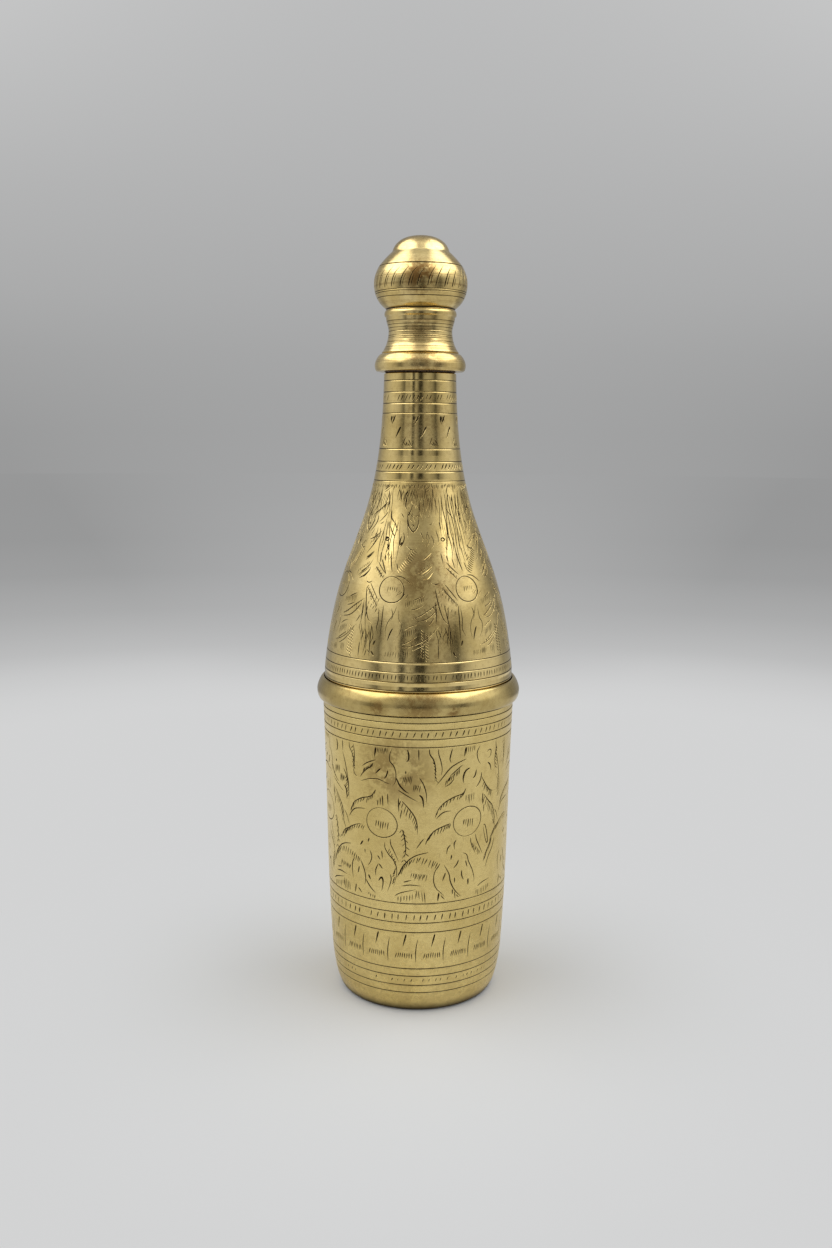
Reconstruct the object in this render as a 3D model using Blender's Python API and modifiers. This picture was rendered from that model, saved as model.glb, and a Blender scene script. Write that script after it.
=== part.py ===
"""Engraved brass bottle that parts at the waist, with a nest of cups inside.

Metres, +Z up.  The origin is the middle of the foot ring, on the surface that
the bottle stands on, and every piece is turned about the Z axis.  The lower
half ends in a lip.  A collar soldered inside that lip carries the upper half,
which lifts off with its bead ring, shoulder and neck.  The stopper screws into
a bush in the neck.  Four cups stand inside each other in the lower half.
"""

import bpy
from math import radians
from mathutils import Vector
from mathutils.geometry import interpolate_bezier

# Clearances between pieces
REST_GAP = 0.0003        # between pieces that stand on or slide in each other
THREAD_GAP = 0.0004      # between the collar's spigot and the skirt around it

# Lower half: the outer surface from the foot ring up to the lip
FOOT_RADIUS = 0.0286     # outer edge of the flat ring that it stands on
HEEL_RADIUS = 0.0336     # where the rounded heel meets the side
HEEL_HEIGHT = 0.0160
MOUTH_RADIUS = 0.0370    # outside of the lip
SEAM_HEIGHT = 0.1164     # top of the lip, where the bottle parts
LOWER_WALL = 0.0013
RECESS_RADIUS = 0.0215   # hollow under the base, inside the foot ring
RECESS_DEPTH = 0.0015
RECESS_SLOPE = 0.0010    # how far the hollow's edge leans
HEEL_HANDLE_SHARE = 0.51     # roundness of the heel
HEEL_LEAN_SHARE = 0.17       # how far the side leans where it meets the heel
SIDE_BELLY_SHARE = 0.69      # how soon the side reaches its full width
SIDE_RISE_SHARE = 0.34
SIDE_LEAN_SHARE = 0.50       # lean under the lip, and how far down it holds
SIDE_FALL_SHARE = 0.445

# Collar soldered into the lower half's mouth
SLEEVE_DEPTH = 0.0120    # part of it below the lip
SPIGOT_HEIGHT = 0.0100   # part of it above the lip
SPIGOT_STEP = 0.0008     # how much narrower the spigot is than the sleeve
COLLAR_WALL = 0.0016
COLLAR_CHAMFER = 0.0005

# Bead ring at the waist, which closes on the lip
RING_HEIGHT = 0.0083
RING_PROUD = 0.0030      # how far the bead stands out from the skirt
RING_OVERHANG = 0.0010   # how far its underside reaches past the lip
RING_SHELF = 0.0033      # from its underside to the shelf that holds the skirt
RING_LIP = 0.0004        # thickness of its upper edge
RING_BORE_STEP = 0.0001  # how much less than the skirt's inside it is bored
RING_WIDEST_SHARE = 0.42

# Upper half: skirt, shoulder and neck in one drawn shell
UPPER_WALL = 0.0013
SKIRT_LENGTH = 0.0087
SHOULDER_LENGTH = 0.1109  # from the top of the skirt to the neck's rim
NECK_RADIUS = 0.0136
SHOULDER_RISE_SHARE = 0.49
SHOULDER_LEAN_SHARE = 0.25
NECK_RISE_SHARE = 0.58
NECK_LEAN_SHARE = 0.05

# Threaded bush soldered into the neck
BUSH_LENGTH = 0.0125
BUSH_WALL = 0.0025
BUSH_CHAMFER = 0.0004

# Stopper knob, from its underside to the top of its finial
STOPPER_GAP = 0.0008     # the dark seam between the neck's rim and the knob
STOPPER_HEIGHT = 0.0493
FLANGE_PROUD = 0.0035    # how far the flange stands out from the neck
FLANGE_UNDERCUT = 0.0010
GROOVE_DEPTH = 0.0004    # fine groove above the flange and under the bulb
FLARE_RADIUS = 0.0145    # foot of the knob's waist, above the flange
WAIST_RADIUS = 0.0119
COLLET_RADIUS = 0.0135   # small bead between the waist and the bulb
COLLET_STEP = 0.0006
BULB_FOOT_RADIUS = 0.0132
BULB_RADIUS = 0.0174
BULB_SHOULDER_RADIUS = 0.0156
FINIAL_RADIUS = 0.0106
FLANGE_WIDEST_SHARE = 0.045   # heights, as shares of the stopper's height
FLANGE_TOP_SHARE = 0.128
GROOVE_SHARE = 0.134
FLARE_SHARE = 0.140
WAIST_SHARE = 0.300
COLLET_FOOT_SHARE = 0.400
COLLET_LOW_SHARE = 0.408
COLLET_HIGH_SHARE = 0.430
COLLET_TOP_SHARE = 0.452
BULB_FOOT_SHARE = 0.467
BULB_WIDEST_SHARE = 0.645
BULB_SHOULDER_SHARE = 0.771
FINIAL_SHARE = 0.880
FINIAL_ACROSS_SHARE = 0.68    # roundness of the finial
FINIAL_UP_SHARE = 0.50
FINIAL_LEAN_SHARE = 0.12
BULB_DROP_SHARE = 0.75

# Stopper plug, and the seal ring around it
SEAL_THICKNESS = 0.0014
SEAL_SINK = 0.0012       # depth of the recess that holds the seal in the knob
SEAL_EDGE = 0.0004       # how far the seal stays inside the neck's outside
PLUG_LENGTH = 0.0102     # threaded part, from its shoulder down
SHANK_STEP = 0.0030      # how much narrower the plain shank is
SHANK_LENGTH = 0.0080
PLUG_CHAMFER = 0.0008

# Cups, from the widest to the innermost
CUP_COUNT = 4
CUP_GAP = 0.0034         # between the first cup's rim and the collar's bore
CUP_FOOT_GAP = 0.0016    # between the first cup's base and the foot's wall
CUP_STEP = 0.0025        # each cup is this much less in radius than the one around it
CUP_RIM_RISE = 0.0027    # each rim stands this much above the last one
CUP_WALL = 0.0010
CUP_CORNER = 0.0020      # rounding at the base
CUP_BEAD = 0.0005        # how far the rim's bead stands out
CUP_BEAD_HEIGHT = 0.0020

# Handle lengths of the curved stretches, as shares of the stretch's width or height
ROUND_SHARE = 0.55       # makes a quarter turn round
LONG_SHARE = 0.50
EVEN_SHARE = 0.33
SHORT_SHARE = 0.25
SLIGHT_SHARE = 0.17

# Points on the curved stretches, from long ones to small ones
SHOULDER_STEPS = 14
SIDE_STEPS = 6
BULGE_STEPS = 5          # heel, upper bead, finial and lower bulb
BEAD_STEPS = 4           # lower bead, flared foot of the knob's waist, upper flange
CORNER_STEPS = 3

# Faceting of the turned pieces
BODY_FACETS = 44
SMALL_FACETS = 32
SHARP_ANGLE = radians(35)
MERGE_DISTANCE = 0.00001

# Colour and roughness of each finish
SATIN_BRASS = ((0.60, 0.45, 0.20), 0.38)
POLISHED_BRASS = ((0.66, 0.50, 0.22), 0.20)
BEAD_BRASS = ((0.64, 0.48, 0.21), 0.24)
THREAD_BRASS = ((0.50, 0.36, 0.15), 0.42)
CUP_BRASS = ((0.68, 0.52, 0.25), 0.28)
SEAL_LEATHER = ((0.10, 0.05, 0.02), 0.85)

# Sizes that follow from the ones above
SLEEVE_RADIUS = MOUTH_RADIUS - LOWER_WALL - REST_GAP
SPIGOT_RADIUS = SLEEVE_RADIUS - SPIGOT_STEP
COLLAR_BORE = SPIGOT_RADIUS - COLLAR_WALL
SKIRT_RADIUS = SPIGOT_RADIUS + THREAD_GAP + UPPER_WALL
RING_FLOOR = SEAM_HEIGHT + REST_GAP
SKIRT_FLOOR = RING_FLOOR + RING_SHELF + REST_GAP
SKIRT_TOP = SKIRT_FLOOR + SKIRT_LENGTH
NECK_TOP = SKIRT_TOP + SHOULDER_LENGTH
BUSH_RADIUS = NECK_RADIUS - UPPER_WALL - REST_GAP
BUSH_BORE = BUSH_RADIUS - BUSH_WALL
PLUG_RADIUS = BUSH_BORE - REST_GAP
SHANK_RADIUS = PLUG_RADIUS - SHANK_STEP
KNOB_FLOOR = NECK_TOP + STOPPER_GAP
KNOB_TOP = KNOB_FLOOR + STOPPER_HEIGHT
SEAL_ROOF = KNOB_FLOOR + SEAL_SINK
CUP_FLOOR = RECESS_DEPTH + LOWER_WALL + REST_GAP


def curve(start, leave, arrive, end, steps):
    """Points of one curved stretch of an outline, without its last point.

    Every argument but steps is a (radius, height) pair, and leave and arrive
    are the handles that set the direction at the two ends.
    """
    corners = [Vector((radius, 0, height)) for radius, height in (start, leave, arrive, end)]
    points = interpolate_bezier(*corners, steps + 1)
    return [(point.x, point.z) for point in points[:-1]]


def quarter_turn(start, end, steps, flat_first, share=ROUND_SHARE):
    """A rounded corner from start to end, level at one end and upright at the other."""
    across = (end[0] - start[0]) * share
    along = (end[1] - start[1]) * share
    if flat_first:
        leave = (start[0] + across, start[1])
        arrive = (end[0], end[1] - along)
    else:
        leave = (start[0], start[1] + along)
        arrive = (end[0] - across, end[1])
    return curve(start, leave, arrive, end, steps)


def radius_at(outline, height):
    """Radius of an outline at a height, for what has to fit inside it."""
    for (upper_radius, upper), (lower_radius, lower) in zip(outline, outline[1:]):
        if lower <= height <= upper and upper > lower:
            share = (height - lower) / (upper - lower)
            return lower_radius + share * (upper_radius - lower_radius)
    return outline[0][0]


def brass(name, colour, roughness):
    """A plain metal material in one tone of brass."""
    material = bpy.data.materials.new(name)
    material.use_nodes = True
    shader = material.node_tree.nodes["Principled BSDF"]
    shader.inputs["Base Color"].default_value = (*colour, 1)
    shader.inputs["Metallic"].default_value = 1
    shader.inputs["Roughness"].default_value = roughness
    return material


def leather(name, colour, roughness):
    """A plain material for the seal."""
    material = brass(name, colour, roughness)
    shader = material.node_tree.nodes["Principled BSDF"]
    shader.inputs["Metallic"].default_value = 0
    return material


def turned(name, outline, base, facets, material, wall=None, ring=False):
    """Turn an outline, given from its top down its outer side, about the Z axis.

    With a wall the outline is an open surface that is thickened inwards.  A
    ring's outline is closed, because no end of it lies on the axis.
    """
    mesh = bpy.data.meshes.new(name)
    count = len(outline)
    edges = [(index, index + 1) for index in range(count - 1)]
    if ring:
        edges.append((count - 1, 0))
    mesh.from_pydata([(radius, 0, height - base) for radius, height in outline], edges, [])
    piece = bpy.data.objects.new(name, mesh)
    bottle.objects.link(piece)
    piece.location = (0, 0, base)
    mesh.materials.append(material)

    screw = piece.modifiers.new("turn", "SCREW")
    screw.axis = "Z"
    screw.steps = facets
    screw.render_steps = facets
    screw.use_merge_vertices = True
    screw.merge_threshold = MERGE_DISTANCE
    screw.use_smooth_shade = True
    if wall is not None:
        solidify = piece.modifiers.new("wall", "SOLIDIFY")
        solidify.thickness = wall
        solidify.offset = -1
        solidify.use_even_offset = True
    return piece


def mesh_from_modifiers(piece):
    """Apply the modifiers, so that the sharp edges can be marked on the mesh."""
    evaluated = piece.evaluated_get(bpy.context.evaluated_depsgraph_get())
    finished = bpy.data.meshes.new_from_object(evaluated)
    outline_mesh = piece.data
    piece.modifiers.clear()
    piece.data = finished
    bpy.data.meshes.remove(outline_mesh)
    finished.name = piece.name
    finished.shade_smooth()
    finished.set_sharp_from_angle(angle=SHARP_ANGLE)


def lower_outline():
    """Outside of the lower half, from the lip down to the middle of its base."""
    side = SEAM_HEIGHT - HEEL_HEIGHT
    spread = MOUTH_RADIUS - HEEL_RADIUS
    heel_spread = HEEL_RADIUS - FOOT_RADIUS
    outline = curve(
        (MOUTH_RADIUS, SEAM_HEIGHT),
        (MOUTH_RADIUS - spread * SIDE_LEAN_SHARE, SEAM_HEIGHT - side * SIDE_FALL_SHARE),
        (HEEL_RADIUS + spread * SIDE_BELLY_SHARE, HEEL_HEIGHT + side * SIDE_RISE_SHARE),
        (HEEL_RADIUS, HEEL_HEIGHT), SIDE_STEPS)
    outline += curve(
        (HEEL_RADIUS, HEEL_HEIGHT),
        (HEEL_RADIUS - heel_spread * HEEL_LEAN_SHARE, HEEL_HEIGHT * (1 - HEEL_HANDLE_SHARE)),
        (FOOT_RADIUS + heel_spread * HEEL_HANDLE_SHARE, 0),
        (FOOT_RADIUS, 0), BULGE_STEPS)
    outline += [
        (FOOT_RADIUS, 0),
        (RECESS_RADIUS + RECESS_SLOPE, 0),
        (RECESS_RADIUS, RECESS_DEPTH),
        (0, RECESS_DEPTH)]
    return outline


def collar_outline():
    """Sleeve inside the lip, with the spigot that the upper half screws over."""
    top = SEAM_HEIGHT + SPIGOT_HEIGHT
    foot = SEAM_HEIGHT - SLEEVE_DEPTH
    foot_radius = radius_at(lower_outline(), foot) - LOWER_WALL - REST_GAP
    return [
        (SPIGOT_RADIUS - COLLAR_CHAMFER, top),
        (SPIGOT_RADIUS, top - COLLAR_CHAMFER),
        (SPIGOT_RADIUS, SEAM_HEIGHT),
        (SLEEVE_RADIUS, SEAM_HEIGHT - SPIGOT_STEP),
        (foot_radius, foot + COLLAR_CHAMFER),
        (foot_radius - COLLAR_CHAMFER, foot),
        (COLLAR_BORE, foot),
        (COLLAR_BORE, top - COLLAR_CHAMFER),
        (COLLAR_BORE + COLLAR_CHAMFER, top)]


def ring_outline():
    """Bead ring with a shelf for the skirt and a bore that clears the spigot."""
    top = RING_FLOOR + RING_HEIGHT
    rebate = SKIRT_RADIUS + REST_GAP
    bore = SKIRT_RADIUS - UPPER_WALL - RING_BORE_STEP
    widest = SKIRT_RADIUS + RING_PROUD
    widest_height = RING_FLOOR + RING_HEIGHT * RING_WIDEST_SHARE
    shelf = RING_FLOOR + RING_SHELF
    edge = rebate + RING_LIP
    foot = MOUTH_RADIUS + RING_OVERHANG
    outline = quarter_turn((edge, top), (widest, widest_height), BULGE_STEPS, True, EVEN_SHARE)
    outline += quarter_turn((widest, widest_height), (foot, RING_FLOOR), BEAD_STEPS, False)
    outline += [
        (foot, RING_FLOOR),
        (bore, RING_FLOOR),
        (bore, shelf),
        (rebate, shelf),
        (rebate, top)]
    return outline


def shoulder_outline():
    """Outside of the upper shell, from the neck's rim down to the skirt."""
    fall = SKIRT_RADIUS - NECK_RADIUS
    outline = curve(
        (NECK_RADIUS, NECK_TOP),
        (NECK_RADIUS + fall * NECK_LEAN_SHARE, NECK_TOP - SHOULDER_LENGTH * NECK_RISE_SHARE),
        (SKIRT_RADIUS - fall * SHOULDER_LEAN_SHARE, SKIRT_TOP + SHOULDER_LENGTH * SHOULDER_RISE_SHARE),
        (SKIRT_RADIUS, SKIRT_TOP), SHOULDER_STEPS)
    return outline + [(SKIRT_RADIUS, SKIRT_TOP), (SKIRT_RADIUS, SKIRT_FLOOR)]


def bush_outline():
    """Bush in the neck, flush with the rim."""
    foot = NECK_TOP - BUSH_LENGTH
    return [
        (BUSH_RADIUS, NECK_TOP),
        (BUSH_RADIUS, foot),
        (BUSH_BORE + BUSH_CHAMFER, foot),
        (BUSH_BORE, foot + BUSH_CHAMFER),
        (BUSH_BORE, NECK_TOP - BUSH_CHAMFER),
        (BUSH_BORE + BUSH_CHAMFER, NECK_TOP)]


def knob_outline():
    """Knob from the top of its finial down to its flange, and up its socket."""

    def level(share):
        return KNOB_FLOOR + STOPPER_HEIGHT * share

    flange_radius = NECK_RADIUS + FLANGE_PROUD
    flange_foot = flange_radius - FLANGE_UNDERCUT
    finial_drop = KNOB_TOP - level(FINIAL_SHARE)
    hollow = BULB_SHOULDER_RADIUS - FINIAL_RADIUS
    hollow_drop = level(FINIAL_SHARE) - level(BULB_SHOULDER_SHARE)
    outline = curve(
        (0, KNOB_TOP),
        (FINIAL_RADIUS * FINIAL_ACROSS_SHARE, KNOB_TOP),
        (FINIAL_RADIUS - finial_drop * FINIAL_LEAN_SHARE,
         level(FINIAL_SHARE) + finial_drop * FINIAL_UP_SHARE),
        (FINIAL_RADIUS, level(FINIAL_SHARE)), BULGE_STEPS)
    outline += curve(
        (FINIAL_RADIUS, level(FINIAL_SHARE)),
        (FINIAL_RADIUS + hollow * EVEN_SHARE, level(FINIAL_SHARE) - hollow_drop * SHORT_SHARE),
        (BULB_SHOULDER_RADIUS - hollow * SHORT_SHARE,
         level(BULB_SHOULDER_SHARE) + hollow_drop * EVEN_SHARE),
        (BULB_SHOULDER_RADIUS, level(BULB_SHOULDER_SHARE)), CORNER_STEPS)
    outline += curve(
        (BULB_SHOULDER_RADIUS, level(BULB_SHOULDER_SHARE)),
        (BULB_RADIUS - hollow * SLIGHT_SHARE, level(BULB_SHOULDER_SHARE) - hollow_drop * EVEN_SHARE),
        (BULB_RADIUS, level(BULB_WIDEST_SHARE) + hollow_drop * LONG_SHARE),
        (BULB_RADIUS, level(BULB_WIDEST_SHARE)), CORNER_STEPS)
    outline += curve(
        (BULB_RADIUS, level(BULB_WIDEST_SHARE)),
        (BULB_RADIUS, level(BULB_WIDEST_SHARE) - hollow_drop * BULB_DROP_SHARE),
        (BULB_FOOT_RADIUS + hollow * LONG_SHARE, level(BULB_FOOT_SHARE) + hollow_drop * EVEN_SHARE),
        (BULB_FOOT_RADIUS, level(BULB_FOOT_SHARE)), BULGE_STEPS)
    outline += [
        (BULB_FOOT_RADIUS, level(BULB_FOOT_SHARE)),
        (BULB_FOOT_RADIUS - GROOVE_DEPTH, level(COLLET_TOP_SHARE)),
        (COLLET_RADIUS, level(COLLET_HIGH_SHARE)),
        (COLLET_RADIUS, level(COLLET_LOW_SHARE))]
    waist_top = COLLET_RADIUS - COLLET_STEP
    upper_waist = level(COLLET_FOOT_SHARE) - level(WAIST_SHARE)
    lower_waist = level(WAIST_SHARE) - level(FLARE_SHARE)
    outline += curve(
        (waist_top, level(COLLET_FOOT_SHARE)),
        (waist_top, level(COLLET_FOOT_SHARE) - upper_waist * EVEN_SHARE),
        (WAIST_RADIUS, level(WAIST_SHARE) + upper_waist * EVEN_SHARE),
        (WAIST_RADIUS, level(WAIST_SHARE)), CORNER_STEPS)
    flare = FLARE_RADIUS - WAIST_RADIUS
    outline += curve(
        (WAIST_RADIUS, level(WAIST_SHARE)),
        (WAIST_RADIUS, level(WAIST_SHARE) - lower_waist * EVEN_SHARE),
        (WAIST_RADIUS + flare * EVEN_SHARE, level(FLARE_SHARE) + lower_waist * SHORT_SHARE),
        (FLARE_RADIUS, level(FLARE_SHARE)), BEAD_STEPS)
    outline += [
        (FLARE_RADIUS, level(FLARE_SHARE)),
        (FLARE_RADIUS - GROOVE_DEPTH, level(GROOVE_SHARE))]
    outline += quarter_turn(
        (FLARE_RADIUS, level(FLANGE_TOP_SHARE)),
        (flange_radius, level(FLANGE_WIDEST_SHARE)), BEAD_STEPS, True, EVEN_SHARE)
    outline += quarter_turn(
        (flange_radius, level(FLANGE_WIDEST_SHARE)),
        (flange_foot, KNOB_FLOOR), CORNER_STEPS, False)
    socket_roof = SEAL_ROOF + SHANK_LENGTH
    return outline + [
        (flange_foot, KNOB_FLOOR),
        (NECK_RADIUS - SEAL_EDGE + REST_GAP, KNOB_FLOOR),
        (NECK_RADIUS - SEAL_EDGE + REST_GAP, SEAL_ROOF),
        (SHANK_RADIUS + REST_GAP, SEAL_ROOF),
        (SHANK_RADIUS + REST_GAP, socket_roof),
        (0, socket_roof)]


def plug_outline():
    """Threaded plug under the knob, with the shank that is pinned into it."""
    shoulder = SEAL_ROOF - REST_GAP
    top = SEAL_ROOF + SHANK_LENGTH - REST_GAP
    foot = shoulder - PLUG_LENGTH
    return [
        (0, top),
        (SHANK_RADIUS - PLUG_CHAMFER, top),
        (SHANK_RADIUS, top - PLUG_CHAMFER),
        (SHANK_RADIUS, shoulder),
        (PLUG_RADIUS, shoulder),
        (PLUG_RADIUS, foot + PLUG_CHAMFER),
        (PLUG_RADIUS - PLUG_CHAMFER, foot),
        (0, foot)]


def seal_outline():
    """Flat seal ring that lies on the neck's rim, inside the knob's recess."""
    outside = NECK_RADIUS - SEAL_EDGE
    inside = PLUG_RADIUS + REST_GAP
    bottom = NECK_TOP + REST_GAP
    top = bottom + SEAL_THICKNESS
    return [(outside, top), (outside, bottom), (inside, bottom), (inside, top)]


def cup_outline(number):
    """Outside of a cup, from its rim down to the middle of its base."""
    rim_radius = COLLAR_BORE - CUP_GAP - CUP_STEP * number
    base_radius = FOOT_RADIUS - LOWER_WALL - CUP_FOOT_GAP - CUP_STEP * number
    rim = SEAM_HEIGHT + CUP_RIM_RISE * (number + 1)
    base = cup_base(number)
    neck = rim_radius - CUP_BEAD
    taper = (neck - base_radius) / (rim - base)
    corner_radius = base_radius + taper * CUP_CORNER
    outline = [
        (neck, rim),
        (rim_radius, rim - CUP_BEAD),
        (rim_radius, rim - CUP_BEAD_HEIGHT + CUP_BEAD),
        (neck - taper * CUP_BEAD_HEIGHT, rim - CUP_BEAD_HEIGHT)]
    outline += quarter_turn(
        (corner_radius, base + CUP_CORNER),
        (base_radius - CUP_CORNER, base), CORNER_STEPS, False)
    return outline + [(base_radius - CUP_CORNER, base), (0, base)]


def cup_base(number):
    """Height of a cup's underside: each stands on the floor of the one around it."""
    return CUP_FLOOR + (CUP_WALL + REST_GAP) * number


def joint_centre(name, height, parent=None):
    """An empty on the Z axis, where a moving group is carried."""
    empty = bpy.data.objects.new(name, None)
    bottle.objects.link(empty)
    empty.empty_display_size = NECK_RADIUS
    hang(empty, height, parent)
    return empty


def hang(thing, height, parent):
    """Put a thing at a height on the axis, under its parent."""
    thing.parent = parent
    parent_height = 0 if parent is None else parent["height"]
    thing["height"] = height
    thing.location = (0, 0, height - parent_height)


def clear_scene():
    """Remove the objects and the collections that a new file starts with."""
    for thing in list(bpy.data.objects):
        bpy.data.objects.remove(thing, do_unlink=True)
    for collection in list(bpy.data.collections):
        bpy.data.collections.remove(collection)


clear_scene()
bottle = bpy.data.collections.new("brass_bottle")
bpy.context.scene.collection.children.link(bottle)

satin_brass = brass("satin_brass", *SATIN_BRASS)
polished_brass = brass("polished_brass", *POLISHED_BRASS)
bead_brass = brass("bead_brass", *BEAD_BRASS)
thread_brass = brass("thread_brass", *THREAD_BRASS)
cup_brass = brass("cup_brass", *CUP_BRASS)
seal_leather = leather("seal_leather", *SEAL_LEATHER)

upper_half = joint_centre("upper_half", RING_FLOOR)
stopper_lift = joint_centre("stopper_lift", NECK_TOP, upper_half)
stopper_turn = joint_centre("stopper_turn", KNOB_FLOOR, stopper_lift)

pieces = [
    (turned("lower_body", lower_outline(), 0, BODY_FACETS, satin_brass, wall=LOWER_WALL), 0, None),
    (turned("lower_collar", collar_outline(), 0, BODY_FACETS, thread_brass, ring=True), 0, None),
    (turned("waist_ring", ring_outline(), RING_FLOOR, BODY_FACETS, bead_brass, ring=True),
     RING_FLOOR, upper_half),
    (turned("shoulder_shell", shoulder_outline(), RING_FLOOR, BODY_FACETS, polished_brass, wall=UPPER_WALL),
     RING_FLOOR, upper_half),
    (turned("neck_bush", bush_outline(), NECK_TOP, SMALL_FACETS, thread_brass, ring=True),
     NECK_TOP, upper_half),
    (turned("stopper_seal", seal_outline(), NECK_TOP, SMALL_FACETS, seal_leather, ring=True),
     NECK_TOP, stopper_lift),
    (turned("stopper_knob", knob_outline(), KNOB_FLOOR, SMALL_FACETS, polished_brass),
     KNOB_FLOOR, stopper_turn),
    (turned("stopper_plug", plug_outline(), KNOB_FLOOR, SMALL_FACETS, thread_brass),
     KNOB_FLOOR, stopper_turn)]

cup_parent = None
for cup_number in range(CUP_COUNT):
    floor = cup_base(cup_number)
    cup = turned(f"cup_{cup_number + 1}", cup_outline(cup_number), floor, SMALL_FACETS, cup_brass,
                 wall=CUP_WALL)
    pieces.append((cup, floor, cup_parent))
    cup_parent = cup

for piece, height, parent in pieces:
    hang(piece, height, parent)
    mesh_from_modifiers(piece)
bpy.context.view_layer.update()
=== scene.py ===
"""Looks of the engraved brass bottle: turned and engraved shells, threads, cups, finishes and studio.

Lengths are in millimetres and MM turns them into the frame's metres.  A place on a turned surface
is an angle in degrees, zero at the front and positive to the right, and a height.  Every engraved
stroke is a V cut in the mesh: its two edges and its bottom are edges of the mesh.
"""

import random
from collections import namedtuple
from functools import partial
from math import atan2, ceil, cos, hypot, pi, radians, sin

import bpy
import numpy as np
from mathutils import Matrix, Vector
from mathutils.geometry import delaunay_2d_cdt


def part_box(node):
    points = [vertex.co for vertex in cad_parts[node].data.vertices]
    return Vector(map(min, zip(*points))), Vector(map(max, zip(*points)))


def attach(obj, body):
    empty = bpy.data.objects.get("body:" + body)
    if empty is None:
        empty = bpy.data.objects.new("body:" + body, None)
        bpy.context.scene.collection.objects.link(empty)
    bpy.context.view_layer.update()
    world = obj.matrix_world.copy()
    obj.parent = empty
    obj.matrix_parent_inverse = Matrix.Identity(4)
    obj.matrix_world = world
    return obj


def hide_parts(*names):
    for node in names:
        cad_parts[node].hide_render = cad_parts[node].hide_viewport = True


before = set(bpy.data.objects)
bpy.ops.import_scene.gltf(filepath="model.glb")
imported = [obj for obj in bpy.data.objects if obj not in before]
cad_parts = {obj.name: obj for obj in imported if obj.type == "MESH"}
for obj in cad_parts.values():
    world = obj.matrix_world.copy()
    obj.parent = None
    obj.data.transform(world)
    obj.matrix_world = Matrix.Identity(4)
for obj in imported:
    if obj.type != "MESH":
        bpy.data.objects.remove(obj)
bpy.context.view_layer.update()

MM = 0.001

# Mesh
COLUMNS = np.linspace(-180, 180, 241)      # angles at which the turned rows have their points
CUP_COLUMNS = np.linspace(-180, 180, 121)
COLLAR_COLUMNS = COLUMNS[::2]
SMALL_COLUMNS = COLUMNS[::3]
SHARP = cos(radians(32))                   # flatter corners than this are shaded round
SHARP_THREAD = radians(38)                 # the same for threaded pieces, as an angle
WELD = 1e-5                                # points closer than this are one point
NO_AREA = 1e-9                             # triangles with less area are left out
OUTLINE_STEPS = 48                         # points on each curved stretch
ROW_GAP = 3.0                              # between the rows of a plain stretch

# Turned lines
LINE_WIDTH = 0.42
LINE_DEPTH = 0.16
BURR_WIDTH = 0.32                          # of the raised edge that the tool left under each line
BURR_HEIGHT = 0.045
BURR_PEAK = 0.4                            # share of its width at which the burr is highest

# Graver strokes
FINE, EVEN, BOLD = 0.40, 0.56, 0.80        # widths
THIN, TICK = 0.46, 0.28                    # widths of the shoulder's outlines and hatching
HATCH_REACH = 1.25                         # how long the hatching is cut
MOST_BENDS = 26                            # a stroke has no more steps than this
RING_BENDS = 40                            # steps round a circle
CUT_SLOPE = 0.62                           # depth of a cut for its half width
LEAST_DEPTH = 0.012
FULL_DIRT = 0.1                            # depth from which a cut is quite dark
BORDER = 0.12                              # strokes stop this far from the edge of their zone
LOWER_FLOWERS = (-22, 31.6, 82.7, 133.7, 184.8, 235.9, 286.9)    # angles of the engraved flowers
UPPER_FLOWERS = (-19.5, 36, 86.7, 137.5, 188.2, 239, 289.7)

# Painted shade in the seams, as the depth of a cut that is as dark
GROOVE_SHADE = 0.5                          # painted shade in the groove under the bulb
LIP = 0.4                                  # height of the lower half's lip, whose top is darkened as painted shade under the bead ring

rng = random.Random(7)


# Outlines

def bezier(start, leave, arrive, end, steps=OUTLINE_STEPS):
    """Points of a curved stretch, given as (radius, height) pairs, without its last point."""
    t = np.linspace(0, 1, steps + 1)[:-1, None]
    a, b, c, d = (np.array(point, float) for point in (start, leave, arrive, end))
    return (1 - t) ** 3 * a + 3 * (1 - t) ** 2 * t * b + 3 * (1 - t) * t ** 2 * c + t ** 3 * d


def quarter_turn(start, end, flat_first, share=0.55, steps=12):
    """A rounded corner, level at one end and upright at the other."""
    across = (end[0] - start[0]) * share
    along = (end[1] - start[1]) * share
    if flat_first:
        return bezier(start, (start[0] + across, start[1]), (end[0], end[1] - along), end, steps)
    return bezier(start, (start[0], start[1] + along), (end[0] - across, end[1]), end, steps)


class Outline:
    """The outer line of a turned piece, from its top down, measured along its length."""

    def __init__(self, points):
        self.points = np.array(points, float)
        self.length = np.concatenate([[0], np.cumsum(np.hypot(*np.diff(self.points, axis=0).T))])
        along = np.gradient(self.points, self.length, axis=0)
        along /= np.hypot(*along.T)[:, None]
        self.normals = np.stack([-along[:, 1], along[:, 0]], 1)

    def down_to(self, height):
        """Length from the top of the outline down to a height."""
        return np.interp(-np.asarray(height, float), -self.points[:, 1], self.length)

    def at(self, length):
        """Radius and height at a length."""
        return np.stack([np.interp(length, self.length, self.points[:, axis]) for axis in (0, 1)], -1)

    def normal(self, length):
        """Outward direction at a length, as radius and height parts."""
        return np.stack([np.interp(length, self.length, self.normals[:, axis]) for axis in (0, 1)], -1)

    def at_height(self, height):
        """Radius and height where the outline comes down to a height."""
        return tuple(self.at(self.down_to(height)))


# Meshes

def around(angle, radius, height):
    """Points in space from angles, radii and heights."""
    turn = np.radians(angle)
    return np.stack([radius * np.sin(turn), -radius * np.cos(turn), height + 0 * turn], -1)


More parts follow.
